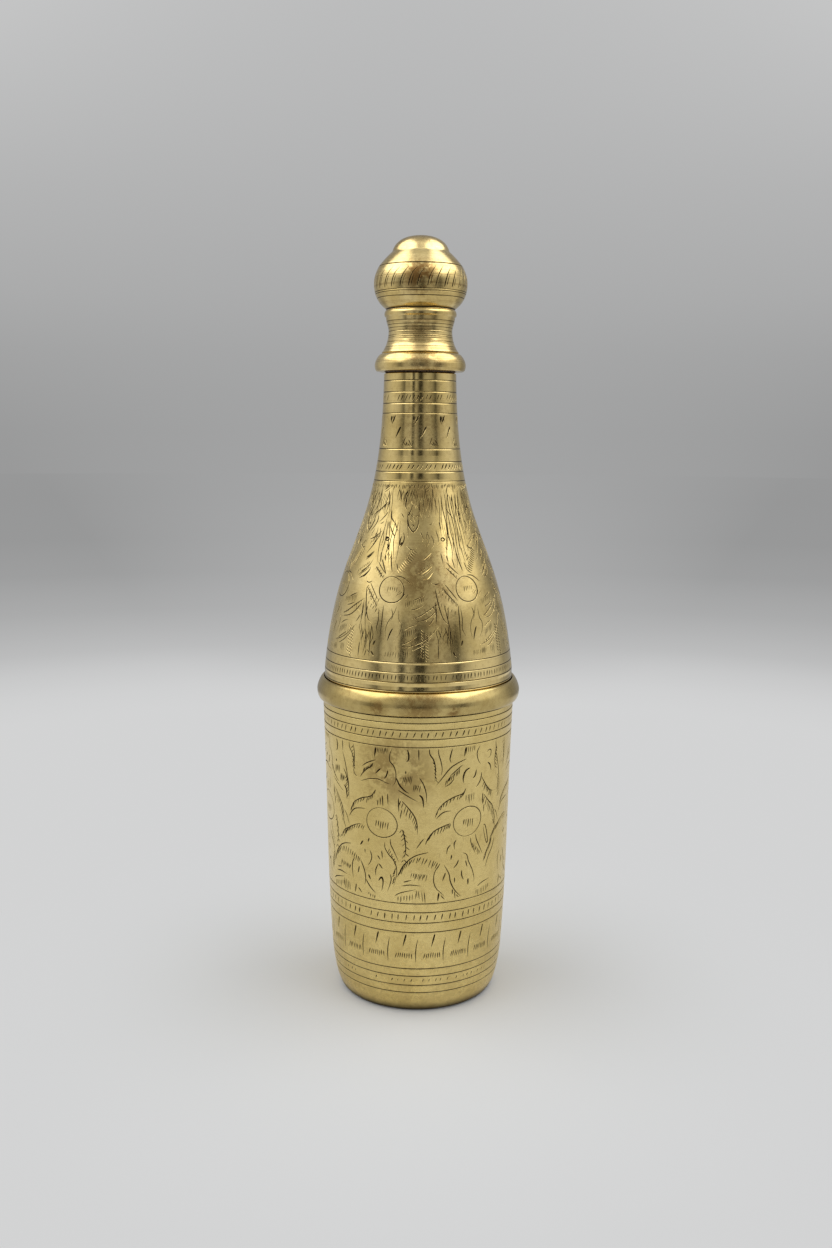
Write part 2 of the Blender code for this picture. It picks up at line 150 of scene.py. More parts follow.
def row_shading(line):
    """Outward directions at the upper and lower end of each step of a turned line.

    Two steps share their direction where the corner between them is shaded round.
    """
    steps = np.diff(line, axis=0)
    sizes = np.hypot(*steps.T)
    flat = np.stack([-steps[:, 1], steps[:, 0]], 1) / sizes[:, None]
    upper = flat.copy()
    lower = flat.copy()
    for step in range(len(flat) - 1):
        if flat[step] @ flat[step + 1] > SHARP:
            shared = flat[step] * sizes[step + 1] + flat[step + 1] * sizes[step]
            shared /= hypot(*shared)
            lower[step] = shared
            upper[step + 1] = shared
    return upper, lower


class Skin:
    """Collects stretches of turned and engraved surface and joins them into one closed mesh."""

    def __init__(self):
        self.points = []
        self.cuts = []
        self.faces = []
        self.normals = []
        self.count = 0

    def add(self, points, cuts, faces, normals):
        """Points in space, how deep each is cut, faces, and a normal for every corner of every face."""
        self.points.append(points)
        self.cuts.append(cuts)
        self.faces += [[corner + self.count for corner in face] for face in faces]
        self.normals += normals
        self.count += len(points)

    def turn(self, rows, columns=COLUMNS, above=None, below=None):
        """Turn rows of (radius, height, cut) about the axis, in order down the outer side.

        The cut may be left out.  above and below are the (radius, height) points that follow beyond
        the two ends, so that the shading runs on into what lies there.
        """
        rows = np.array([tuple(row) + (0,) * (3 - len(row)) for row in rows], float)
        line = rows[:, :2]
        if below is not None:
            line = np.concatenate([line, [below]])
        if above is not None:
            line = np.concatenate([[above], line])
        upper, lower = row_shading(line)
        first = 0 if above is None else 1
        wide = len(columns)
        points = np.concatenate([around(columns, radius, height) for radius, height in rows[:, :2]])
        faces = []
        normals = []
        for row in range(len(rows) - 1):
            high = around(columns, *upper[first + row]).tolist()
            low = around(columns, *lower[first + row]).tolist()
            for column in range(wide - 1):
                here = row * wide + column
                faces.append((here + wide, here + wide + 1, here + 1, here))
                normals.append((low[column], low[column + 1], high[column + 1], high[column]))
        self.add(points, np.repeat(rows[:, 2], wide), faces, normals)

    def mesh(self, name):
        """Weld the stretches together and return one mesh with the cut depth as an attribute."""
        points = np.concatenate(self.points)
        cuts = np.concatenate(self.cuts)
        keys = np.rint(points / WELD).astype(np.int64)
        _, index, place = np.unique(keys, axis=0, return_index=True, return_inverse=True)
        place = place.ravel().tolist()
        faces = []
        normals = []
        for face, corner_normals in zip(self.faces, self.normals):
            corners = [place[corner] for corner in face]
            if len(set(corners)) < len(corners):
                keep = [number for number, corner in enumerate(corners) if corner != corners[number - 1]]
                if len(keep) < 3:
                    continue
                corners = [corners[number] for number in keep]
                corner_normals = [corner_normals[number] for number in keep]
            faces.append(corners)
            normals.extend(corner_normals)
        mesh = bpy.data.meshes.new(name)
        mesh.from_pydata((points[index] * MM).tolist(), [], faces)
        mesh.shade_smooth()
        mesh.normals_split_custom_set(normals)
        mesh.attributes.new("cut", "FLOAT", "POINT").data.foreach_set("value", cuts[index])
        return mesh


def piece(name, mesh, material, body, node):
    """Show a mesh in place of a node of the frame."""
    shown = bpy.data.objects.new(name, mesh)
    bpy.context.scene.collection.objects.link(shown)
    mesh.materials.append(material)
    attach(shown, body)
    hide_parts(node)


# Engraving

def clip(lines, axis, bound, keep_below):
    """Cut lines at a bound on one axis and keep the parts on one side of it."""
    side = 1 if keep_below else -1
    kept = []
    for line in lines:
        part = []
        for number, point in enumerate(line):
            inside = side * (bound - point[axis]) >= 0
            if number:
                before = line[number - 1]
                if inside != (side * (bound - before[axis]) >= 0):
                    share = (bound - before[axis]) / (point[axis] - before[axis])
                    crossing = before + share * (point - before)
                    crossing[axis] = bound
                    part.append(crossing)
                    if not inside:
                        kept.append(part)
                        part = []
            if inside:
                part.append(point)
        if len(part) > 1:
            kept.append(part)
    return [part for part in kept if len(part) > 1]


def smooth(points, count):
    """Points along a smooth curve through the given ones."""
    points = np.array(points, float)
    if len(points) == 2:
        return points[0] + np.linspace(0, 1, count)[:, None] * (points[1] - points[0])
    ends = np.concatenate([[2 * points[0] - points[1]], points, [2 * points[-1] - points[-2]]])
    place = np.linspace(0, len(points) - 1 - 1e-9, count)
    span = place.astype(int)
    t = (place - span)[:, None]
    a, b, c, d = (ends[span + step] for step in range(4))
    return (b + t / 2 * (c - a) + t ** 2 / 2 * (2 * a - 5 * b + 4 * c - d)
            + t ** 3 / 2 * (3 * (b - c) + d - a))


# line has (angle, length) points, half is half the width at each, scale is millimetres in a degree
Stroke = namedtuple("Stroke", "line half scale closed dirty")


def stroke_edges(stroke):
    """The two edges and the bottom of a stroke, as lines of (angle, length)."""
    flat = stroke.line * (stroke.scale, 1)
    if stroke.closed:
        along = np.roll(flat, -1, 0) - np.roll(flat, 1, 0)
    else:
        along = np.gradient(flat, axis=0)
    along /= np.hypot(*along.T)[:, None]
    side = np.stack([-along[:, 1] / stroke.scale, along[:, 0]], 1) * stroke.half[:, None]
    lines = [stroke.line + side, stroke.line, stroke.line - side]
    if stroke.closed:
        lines = [np.concatenate([edge, edge[:1]]) for edge in lines]
    return lines


def groove_depth(points, line, half):
    """How deep a groove along a line cuts at points; half is half its width along the line."""
    start, run = line[:-1], np.diff(line, axis=0)
    share = ((points[:, None] - start) * run).sum(2) / np.maximum((run ** 2).sum(1), 1e-12)
    share = np.clip(share, 0, 1)
    away = np.hypot(*np.moveaxis(points[:, None] - start - share[..., None] * run, 2, 0))
    wide = half[:-1] + share * np.diff(half)
    return ((wide - away) * CUT_SLOPE).max(1)


def whole_turns(line, margin):
    """Turns, in degrees, that bring a part of a line onto the surface or near to its ends."""
    return [turn for turn in (-360, 0, 360)
            if line[:, 0].max() + turn >= -180 - margin and line[:, 0].min() + turn <= 180 + margin]


class Zone:
    """An engraved stretch of a turned surface, between two heights."""

    def __init__(self, outline, top, bottom):
        self.outline = outline
        self.top = float(outline.down_to(top))
        self.bottom = float(outline.down_to(bottom))
        self.strokes = []
        self.origin = 0.0

    def degree(self, length):
        """Millimetres in a degree at a length."""
        return radians(1) * float(self.outline.at(length)[0])

    def cut(self, points, width=EVEN, swell=0.75, bends=0.8, dirty=True):
        """A graver's stroke through (angle, height) points, tapering to both ends.

        swell is below 1 where the widest place comes early; bends is the length of its steps.
        """
        points = np.array(points, float) + (self.origin, 0)
        line = np.stack([points[:, 0], self.outline.down_to(points[:, 1])], 1)
        scale = self.degree(line.mean(0)[1])
        size = np.hypot(*(np.diff(line, axis=0) * (scale, 1)).T).sum()
        count = min(max(ceil(size / bends), 4), MOST_BENDS) + 1
        half = width / 2 * np.sin(pi * np.linspace(0, 1, count) ** swell) ** 0.6
        half[[0, -1]] = 0
        self.strokes.append(Stroke(smooth(line, count), half, scale, False, dirty))

    def lines(self, strokes, width=EVEN, dirty=True):
        """Several strokes of one width."""
        for points in strokes:
            self.cut(points, width * rng.uniform(0.85, 1.1), dirty=dirty)

    def hatch(self, edge, count, reach, lean=1.2, width=FINE):
        """Short strokes side by side, hanging from a curve."""
        for angle, height in smooth(edge, count):
            drop = reach * HATCH_REACH * rng.uniform(0.7, 1.15)
            tilt = lean * rng.uniform(0.6, 1.3)
            start = angle + rng.uniform(-0.15, 0.15)
            self.cut([(start, height), (start - tilt, height - drop)], width * rng.uniform(0.8, 1.25))

    def hatches(self, rows, width=FINE):
        """Several (edge, count, reach, lean) rows of hatching of one width."""
        for row in rows:
            self.hatch(*row, width)

    def leaf(self, edge, count, reach, lean, bare=0):
        """A stroke with hatching that hangs from it, apart from its last points if they are bare."""
        self.cut(edge)
        self.hatch(edge[:len(edge) - bare], count, reach, lean)

    def ring(self, angle, height, radius, width=FINE, squash=1.0):
        """A closed circle, a little uneven as if cut by hand."""
        angle += self.origin
        centre = float(self.outline.down_to(height))
        scale = self.degree(centre)
        turn = np.linspace(0, 2 * pi, RING_BENDS, endpoint=False)
        lean = rng.uniform(0, pi)
        reach = radius * (1 + 0.03 * np.sin(2 * turn + lean) + 0.012 * np.sin(3 * turn + lean))
        line = np.stack([angle + reach * np.cos(turn) / scale,
                         centre + squash * reach * np.sin(turn)], 1)
        half = width / 2 * (1 + 0.25 * np.sin(turn + lean))
        self.strokes.append(Stroke(line, half, scale, True, True))

    def depth(self, points):
        """How deep the strokes cut at (angle, length) points, and how deep the ones with dirt do."""
        order = np.argsort(points[:, 0])
        angles = points[order, 0]
        found = np.zeros(len(points))
        soiled_and_shaded = np.zeros(len(points))
        for line, half, scale, closed, dirty in self.strokes:
            if closed:
                line = np.concatenate([line, line[:1]])
                half = np.concatenate([half, half[:1]])
            reach = half.max()
            low, high = line.min(0), line.max(0)
            for turn in whole_turns(line, 2):
                ends = (low[0] + turn - reach / scale, high[0] + turn + reach / scale)
                first, last = np.searchsorted(angles, ends)
                near = order[first:last]
                near = near[(points[near, 1] > low[1] - reach) & (points[near, 1] < high[1] + reach)]
                if len(near):
                    flat = (points[near] - (turn, 0)) * (scale, 1)
                    deep = groove_depth(flat, line * (scale, 1), half)
                    found[near] = np.maximum(found[near], deep)
                    if dirty:
                        soiled_and_shaded[near] = np.maximum(soiled_and_shaded[near], deep)
        found[found < LEAST_DEPTH] = 0
        return found, soiled_and_shaded

    def net(self, row_gap):
        """Points and edges that the mesh has to have: the rim and rows of the zone and its strokes."""
        rows = np.linspace(self.top, self.bottom, ceil((self.bottom - self.top) / row_gap) + 1)
        wide = len(COLUMNS)
        points = [np.stack([COLUMNS, np.full(wide, row)], 1) for row in rows]
        edges = [(start + column, start + column + 1)
                 for start in (0, (len(rows) - 1) * wide) for column in range(wide - 1)]
        edges += [(row * wide + column, (row + 1) * wide + column)
                  for column in (0, wide - 1) for row in range(len(rows) - 1)]
        count = len(rows) * wide
        for stroke in self.strokes:
            for turn in whole_turns(stroke.line, 1):
                lines = [edge + (turn, 0) for edge in stroke_edges(stroke)]
                lines = clip(lines, 1, self.bottom - BORDER, True)
                lines = clip(lines, 1, self.top + BORDER, False)
                lines = clip(lines, 0, 180.0, True)
                lines = clip(lines, 0, -180.0, False)
                for line in lines:
                    points.append(np.array(line))
                    edges += [(count + step, count + step + 1) for step in range(len(line) - 1)]
                    count += len(line)
        return np.concatenate(points), edges

    def engrave(self, skin, row_gap=ROW_GAP):
        """Add the zone's surface to a skin, with every stroke cut into it."""
        given, edges = self.net(row_gap)
        scale = (self.degree((self.top + self.bottom) / 2), 1)
        flat = [Vector(point) for point in (given * scale).tolist()]
        placed, _, faces, sources, *_ = delaunay_2d_cdt(flat, edges, [], 0, WELD, True)
        points = np.array([tuple(point) for point in placed], float) / scale
        for number, source in enumerate(sources):
            if source:
                points[number] = given[source[0]]
        deep, soiled_and_shaded = self.depth(points)
        rim = (points[:, 1] < self.top + BORDER / 2) | (points[:, 1] > self.bottom - BORDER / 2)
        deep[rim] = 0
        normal = self.outline.normal(points[:, 1])
        place = self.outline.at(points[:, 1]) - deep[:, None] * normal
        solid = around(points[:, 0], place[:, 0], place[:, 1])
        outward = around(points[:, 0], normal[:, 0], normal[:, 1])
        triangles = np.array(faces)[:, ::-1]
        corners = solid[triangles]
        facing = np.cross(corners[:, 1] - corners[:, 0], corners[:, 2] - corners[:, 0])
        size = np.linalg.norm(facing, axis=1)
        real = size > NO_AREA
        triangles = triangles[real]
        facing = facing[real] / size[real, None]
        shading = outward[triangles]
        cutting = deep[triangles].max(1) > 0
        shading[cutting] = facing[cutting][:, None]
        skin.add(solid, np.clip(soiled_and_shaded / FULL_DIRT, 0, 1), triangles.tolist(), shading.tolist())


def plain(skin, outline, top, bottom, lines=(), width=LINE_WIDTH, row_gap=ROW_GAP, **ends):
    """Add a stretch of turned surface between two heights, with V lines turned into it."""
    first, last = float(outline.down_to(top)), float(outline.down_to(bottom))
    stops = [(first, 0)]
    for height in lines:
        middle = float(outline.down_to(height))
        foot = middle + width / 2
        burr = min(BURR_WIDTH, last - foot)
        stops += [(middle - width / 2, 0), (middle, LINE_DEPTH), (foot, 0),
                  (foot + burr * BURR_PEAK, -BURR_HEIGHT * burr / BURR_WIDTH), (foot + burr, 0)]
    if last - stops[-1][0] > WELD:
        stops.append((last, 0))
    rows = []
    for (here, deep), (there, _) in zip(stops, stops[1:]):
        rows.append((here, deep))
        if there - here > row_gap:
            extra = np.linspace(here, there, ceil((there - here) / row_gap) + 1)[1:-1]
            rows += [(between, 0) for between in extra]
    rows.append(stops[-1])
    points = []
    for length, deep in rows:
        radius, height = outline.at(length) - deep * outline.normal(length)
        points.append((radius, height, 1.0 if deep > 0 else 0.0))
    ends.setdefault("above", outline.at(first - 1) if first > 1 else None)
    ends.setdefault("below", outline.at(last + 1) if last < outline.length[-1] - 1 else None)
    skin.turn(points, **ends)


def dress(skin, outline, top, stretches):
    """Add stretches of surface one under the other, from a height down.

    Each is (lowest height, what is on it, gap between rows).  What is on it are the heights of its
    turned lines, or the function that draws the strokes of a zone.
    """
    for bottom, content, row_gap in stretches:
        if callable(content):
            zone = Zone(outline, top, bottom)
            content(zone)
            zone.engrave(skin, row_gap)
        else:
            plain(skin, outline, top, bottom, content, row_gap=row_gap)
        top = bottom


# Sizes taken from the frame

def corner(node):
    """Widest radius, lowest and highest point of a node."""
    low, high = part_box(node)
    return high[0] / MM, low[2] / MM, high[2] / MM


MOUTH_RADIUS, _, SEAM = corner("lower_body")
SPIGOT_TOP = corner("lower_collar")[2]
RING_RADIUS, RING_FLOOR, RING_TOP = corner("waist_ring")
SKIRT_RADIUS, SKIRT_FLOOR, NECK_TOP = corner("shoulder_shell")
SKIRT_TOP = SKIRT_FLOOR + 8.7
NECK_RADIUS = 13.6
BUSH_RADIUS, BUSH_FLOOR, _ = corner("neck_bush")
SEAL_RADIUS, SEAL_FLOOR, SEAL_TOP = corner("stopper_seal")
KNOB_RADIUS, KNOB_FLOOR, KNOB_TOP = corner("stopper_knob")
PLUG_RADIUS, PLUG_FLOOR, PLUG_TOP = corner("stopper_plug")
WALL = 1.3
GAP = 0.3                                  # between pieces that move in or are soldered to each other
HEEL_RADIUS = 33.6
HEEL = 16.0
FOOT_RADIUS = 28.6
RECESS_RADIUS = 21.5
RECESS = 1.5
COLLAR_BORE = 33.0
SHANK_RADIUS = 6.2
PITCH = 1.8                                # of every thread
CUP_WALL = 1.0
CUP_BASE_RADIUS = 25.7                     # of the outermost cup
CUP_STEP = 2.5                             # by which each base is smaller than the one around it
RIM_BEAD = 0.5                             # by which a cup's rolled rim stands out
CUP_LINES = (4.0, 5.2, 22.0)               # turned lines of a cup, under its rim


def lower_outline():
    """Outside of the lower half from its lip down to the foot ring."""
    side = SEAM - HEEL
    spread = MOUTH_RADIUS - HEEL_RADIUS
    heel = HEEL_RADIUS - FOOT_RADIUS
    return Outline(np.concatenate([
        bezier((MOUTH_RADIUS, SEAM), (MOUTH_RADIUS - spread * 0.5, SEAM - side * 0.445),
               (HEEL_RADIUS + spread * 0.69, HEEL + side * 0.34), (HEEL_RADIUS, HEEL), 120),
        bezier((HEEL_RADIUS, HEEL), (HEEL_RADIUS - heel * 0.17, HEEL * 0.49),
               (FOOT_RADIUS + heel * 0.51, 0), (FOOT_RADIUS, 0)),
        [(FOOT_RADIUS, 0)]]))


def shoulder_outline():
    """Outside of the upper shell from the neck's rim down to the skirt."""
    fall = SKIRT_RADIUS - NECK_RADIUS
    drop = NECK_TOP - SKIRT_TOP
    return Outline(np.concatenate([
        bezier((NECK_RADIUS, NECK_TOP), (NECK_RADIUS + fall * 0.05, NECK_TOP - drop * 0.58),
               (SKIRT_RADIUS - fall * 0.25, SKIRT_TOP + drop * 0.49), (SKIRT_RADIUS, SKIRT_TOP), 160),
        [(SKIRT_RADIUS, SKIRT_TOP), (SKIRT_RADIUS, SKIRT_FLOOR)]]))


def knob_outline():
    """Knob from the top of its finial down to its flange."""

    def level(share):
        return KNOB_FLOOR + (KNOB_TOP - KNOB_FLOOR) * share

    finial, shoulder, bulb, foot = 10.6, 15.6, KNOB_RADIUS, 13.2
    waist, waist_top, flare = 11.9, 12.9, 14.5
    flange = NECK_RADIUS + 3.5
    tip, crest, belly, groove = level(0.88), level(0.771), level(0.645), level(0.467)
    head, middle, step, rim = level(0.4), level(0.3), level(0.14), level(0.045)
    hollow = shoulder - finial
    top, drop, upper, lower = KNOB_TOP - tip, tip - crest, head - middle, middle - step
    return Outline(np.concatenate([
        bezier((0, KNOB_TOP), (finial * 0.68, KNOB_TOP),
               (finial - top * 0.12, tip + top * 0.5), (finial, tip), 24),
        bezier((finial, tip), (finial + hollow * 0.33, tip - drop * 0.25),
               (shoulder - hollow * 0.25, crest + drop * 0.33), (shoulder, crest), 16),
        bezier((shoulder, crest), (bulb - hollow * 0.17, crest - drop * 0.33),
               (bulb, belly + drop * 0.5), (bulb, belly), 16),
        bezier((bulb, belly), (bulb, belly - drop * 0.75),
               (foot + hollow * 0.5, groove + drop * 0.33), (foot, groove), 24),
        [(foot, groove), (foot - 0.4, level(0.4605)), (foot - 0.4, level(0.4580)),
         (foot - 0.1, level(0.448)), (13.35, level(0.44)), (13.5, level(0.425)), (13.4, level(0.41))],
        bezier((waist_top, head), (waist_top, head - upper * 0.33),
               (waist, middle + upper * 0.33), (waist, middle), 16),
        bezier((waist, middle), (waist, middle - lower * 0.33),
               (waist + (flare - waist) * 0.33, step + lower * 0.25), (flare, step), 20),
        [(flare, step), (flare - 0.25, level(0.1355))],
        quarter_turn((flare, level(0.131)), (flange, rim), True, 0.4, 14),
        quarter_turn((flange, rim), (flange - 1, KNOB_FLOOR), False, 0.55, 10),
        [(flange - 1, KNOB_FLOOR)]]))


# Pieces

def lower_body(material):
    """Lower half: lip, engraved bands and panel, rounded heel, foot ring and inside."""
    outline = lower_outline()
    skin = Skin()
    foot_edge = 0.02
    dress(skin, outline, SEAM - LIP, [
        (111.0, (114.05, 111.43), ROW_GAP),
        (108.4, partial(tick_band, count=88, top=111.1, bottom=108.3, skip=0.08), ROW_GAP),
        (104.6, (108.03, 105.0), ROW_GAP),
        (45.2, lower_panel, ROW_GAP),
        (40.9, (44.8, 41.3), ROW_GAP),
        (37.5, partial(tick_band, count=80, top=40.8, bottom=37.7, lean=0.4, skip=0.04), ROW_GAP),
        (33.0, (37.1, 33.35), ROW_GAP),
        (19.0, tongue_band, ROW_GAP),
        (15.1, (18.6, 15.5), 1.5),
        (12.0, worn_band, 0.8),
        (foot_edge, (11.65, 8.5), 0.5)])
    skin.turn([outline.at_height(foot_edge), (FOOT_RADIUS, 0), (RECESS_RADIUS + 1, 0),
               (RECESS_RADIUS + 0.7, 0.15), (RECESS_RADIUS, RECESS - 0.1), (RECESS_RADIUS - 0.2, RECESS),
               (0, RECESS)])
    base = RECESS + WALL
    inner = MOUTH_RADIUS - WALL
    inside = outline.at(np.linspace(float(outline.down_to(8)), float(outline.down_to(SEAM - 1)), 30))
    rows = [(0, base), (FOOT_RADIUS - 4, base), (FOOT_RADIUS - 0.6, base + 0.3), (FOOT_RADIUS + 1.4, 4.6)]
    rows += [(radius - WALL, height) for radius, height in inside]
    # The outer top of the lip carries a full cut value: painted shade under the bead ring.
    rows += [(inner, SEAM - 0.9), (inner, SEAM - 0.15), (inner + 0.15, SEAM), (MOUTH_RADIUS - 0.25, SEAM, 1),
             (*outline.at_height(SEAM - 0.25), 1), outline.at_height(SEAM - LIP)]
    skin.turn(rows)
    piece("engraved_lower_body", skin.mesh("engraved_lower_body"), material, "lower_half",
          "lower_body")


def tick_band(zone, count, top, bottom, lean=0.7, skip=0.0, width=EVEN):
    """Short slanted strokes all round a band."""
    for number in range(count):
        if rng.random() < skip:
            continue
        angle = -180 + 360 * (number + 0.5 + rng.uniform(-0.12, 0.12)) / count
        high = top - rng.uniform(0, 0.2)
        low = bottom + rng.uniform(0, 0.2)
        slant = lean + rng.uniform(-0.25, 0.25)
        stroke = [(angle + slant, high), (angle + 0.1 * slant, (high + low) / 2), (angle - slant, low)]
        zone.cut(stroke, width * rng.uniform(0.8, 1.15))


def lower_panel(zone):
    """Seven flowers with their leaves, in two designs that take turns."""
    for number, angle in enumerate(LOWER_FLOWERS):
        zone.origin = angle
        zone.ring(0, 75.5, 6.1, FINE, 0.94)
        (budding_flower if number % 2 == 0 else leafy_flower)(zone)


def budding_flower(zone):
    """First design of the lower panel; angles are measured from the middle of its flower."""
    # Heart of the flower and the short strokes over it
    zone.hatch([(-3.0, 76.6), (4.4, 76.2)], 6, 3.0, 0.7, 0.46)
    zone.lines([
        [(-2, 84.5), (-2.4, 81.8)], [(-0.5, 85.5), (-0.6, 82)], [(0.7, 86.5), (1.2, 81.8)],
        [(4, 87.3), (4.4, 82.5)]])
    # Leaves on the left
    zone.leaf([(-3.5, 88.3), (-5.7, 85.9), (-8.6, 84.8), (-13.3, 83.9), (-18.1, 82.2), (-20.3, 80.9),
               (-21, 79.5)], 15, 1.9, 1.5)
    zone.cut([(-24, 75.3), (-21, 78), (-18, 79.3), (-13, 79.9), (-10, 79.9)])
    zone.leaf([(-31.5, 67.2), (-27.9, 69.7), (-25, 70.6), (-22, 71.8), (-16.3, 73.4),
               (-11.4, 73.6)], 15, 2.0, 1.6)
    zone.lines([
        [(-28.5, 77.5), (-26, 75.5), (-23.5, 71.8)], [(-30.5, 74), (-28.5, 72), (-27, 69.9)]], FINE)
    # Bud at the top
    zone.lines([
        [(-2.4, 99.7), (-9, 97.9), (-13, 96.1)],
        [(-4.6, 97.2), (-9, 95.6), (-12.6, 93.4), (-14.2, 91.8)],
        [(-14.4, 90.3), (-7.9, 91.8), (-1.7, 92.2), (3.4, 91.1), (7, 90.6)],
        [(7.1, 104.5), (5.6, 102), (5.6, 99.5), (7.8, 97.9), (9.1, 95.6), (9.2, 92.9), (8.5, 91.3),
         (6.3, 89.5)]])
    zone.hatch([(-5, 98.3), (-11, 95.8)], 8, 1.7, 1.0)
    zone.lines([
        [(0.1, 96.6), (-3.9, 94)], [(4.5, 96.3), (3.4, 93.8), (1.8, 92.5)],
        [(-3.3, 104.5), (-4, 100.3)]], BOLD)
    zone.hatch([(-2.6, 104.6), (4.2, 104.6)], 8, 2.1, 0.5)
    # Stems that hang from the top line
    zone.cut([(15.8, 104.5), (16.7, 102.5), (16.5, 100.4), (15.1, 99.3)], BOLD)
    zone.lines([
        [(22.4, 104.7), (22.6, 100)],
        [(28.6, 104.7), (28.9, 102.5), (31.1, 100.2), (32.2, 97), (31.8, 91.1)],
        [(-19, 104.6), (-18.3, 100), (-18.8, 96), (-19.2, 92)],
        [(-29, 100.2), (-26.8, 96.4), (-25, 92), (-23.8, 87.5), (-23.6, 81)]])
    zone.hatches([
        ([(-25, 91), (-23.9, 84)], 8, 1.8, 2.2), ([(-19.2, 103.4), (-18.2, 97)], 6, 1.4, 1.8),
        ([(30.6, 99.6), (32, 93)], 6, 1.3, -2.0)])
    # Leaf at the upper right
    zone.cut([(9.2, 93.6), (11.4, 90.6), (14.3, 88.6), (17.3, 87.5)], BOLD)
    zone.lines([
        [(10.3, 88.8), (13.6, 87.5), (18, 85.9), (22.7, 84.3)],
        [(22.7, 93.8), (25.3, 91.1), (27, 87.5), (27.3, 83.5)]])
    zone.lines([[(22.7, 87.2), (24.9, 85.6), (25.6, 81.8)], [(15, 96.2), (15, 94.8)]], BOLD)
    zone.hatches([([(14.2, 94.2), (18.8, 94.6)], 6, 3.2, 1.0), ([(20, 91.4), (23.6, 91)], 5, 2.6, 1.0)])
    # Leaves at the right of the flower
    zone.leaf([(12.2, 85), (16.5, 82), (20.2, 78.8), (21.8, 75.6), (22.1, 71.1)], 10, 2.6, 1.6, bare=1)
    zone.lines([
        [(10.7, 86), (10.9, 80)], [(12.7, 81.5), (11.6, 77.5)],
        [(26, 70.4), (23.5, 68.4), (20.9, 65.9)]])
    stem = [(12.9, 73.8), (14.3, 70.6), (15.1, 66.1), (14, 62.2)]
    zone.leaf(stem, 7, 1.4, 2.0)
    zone.hatch(stem, 6, 1.4, -2.0)
    # Half leaf at the lower right
    zone.cut([(11.1, 57), (13.6, 59.7), (18, 62.5), (22.4, 64), (27, 64.7), (29, 65)])
    zone.hatch([(11.4, 57.4), (14, 59.8), (18, 62.2), (24, 63.4), (31, 62.2), (36, 60.6)], 19, 2.6, 1.9)
    zone.lines([[(13.2, 53.1), (19, 54.2)], [(12, 51.6), (18, 52.2), (25, 51.8)]])
    zone.hatch([(19, 57.2), (28, 56.6)], 10, 2.3, 1.1)
    # Stalk under the flower
    zone.lines([
        [(5.6, 70), (6, 67.5), (8.2, 64.7), (11.1, 60.6)],
        [(2, 68.6), (2.3, 66), (4.9, 63.4), (7.4, 61.8), (9.2, 59.3), (9.6, 56.5), (8.5, 53.4),
         (7.1, 50.4)], [(5.6, 56.1), (6, 53.4), (3.4, 48.4)], [(0.1, 65), (0.6, 61.5)],
        [(-2.8, 62.9), (-0.6, 60.9)], [(-2, 59.7), (-3.9, 57), (-3.9, 54.3)],
        [(-2, 59.7), (0.9, 57.5)], [(-11.5, 64.4), (-11.3, 62.6)],
        [(-7.9, 64.3), (-6.6, 62), (-7.5, 59.7), (-9.8, 57.7)]])
    zone.hatches([([(5.4, 66), (9.4, 61.5)], 6, 1.5, 1.6), ([(9.2, 58.6), (8.2, 53.4)], 7, 1.4, 1.8)])
    zone.lines([
        [(-2.4, 52.5), (-0.2, 54.3), (0.9, 52.5), (-0.2, 48.4)], [(-9.3, 54.7), (-7.5, 52.5)],
        [(-8.2, 69), (-9.3, 67)], [(-12.6, 67.5), (-15.2, 65.2)]], BOLD)
    # Drop at the lower left, with its tail along the bottom
    zone.lines([
        [(-19.5, 60), (-21.7, 57.5), (-21.9, 54.3), (-21, 51.1)],
        [(-15.2, 60), (-12.2, 56.1), (-11.2, 52.5), (-12.2, 49.7)],
        [(-11.2, 52.5), (-7.9, 49.7), (-3.9, 47.5)], [(-17.3, 48.4), (-13.9, 46.3)],
        [(8.1, 47.5), (12.2, 49), (22, 50.6)]])
    zone.lines([[(-15.9, 57), (-17.3, 53.8)], [(-18.8, 49.7), (-19.9, 45.7)]], BOLD)
    zone.hatches([
        ([(-9, 47.6), (-4.6, 46.8)], 4, 1.3, 0.3), ([(10.5, 47.6), (21, 49.2)], 7, 2.3, 0.2),
        ([(21.3, 50.4), (26.2, 49.6)], 4, 4.0, -0.9)])


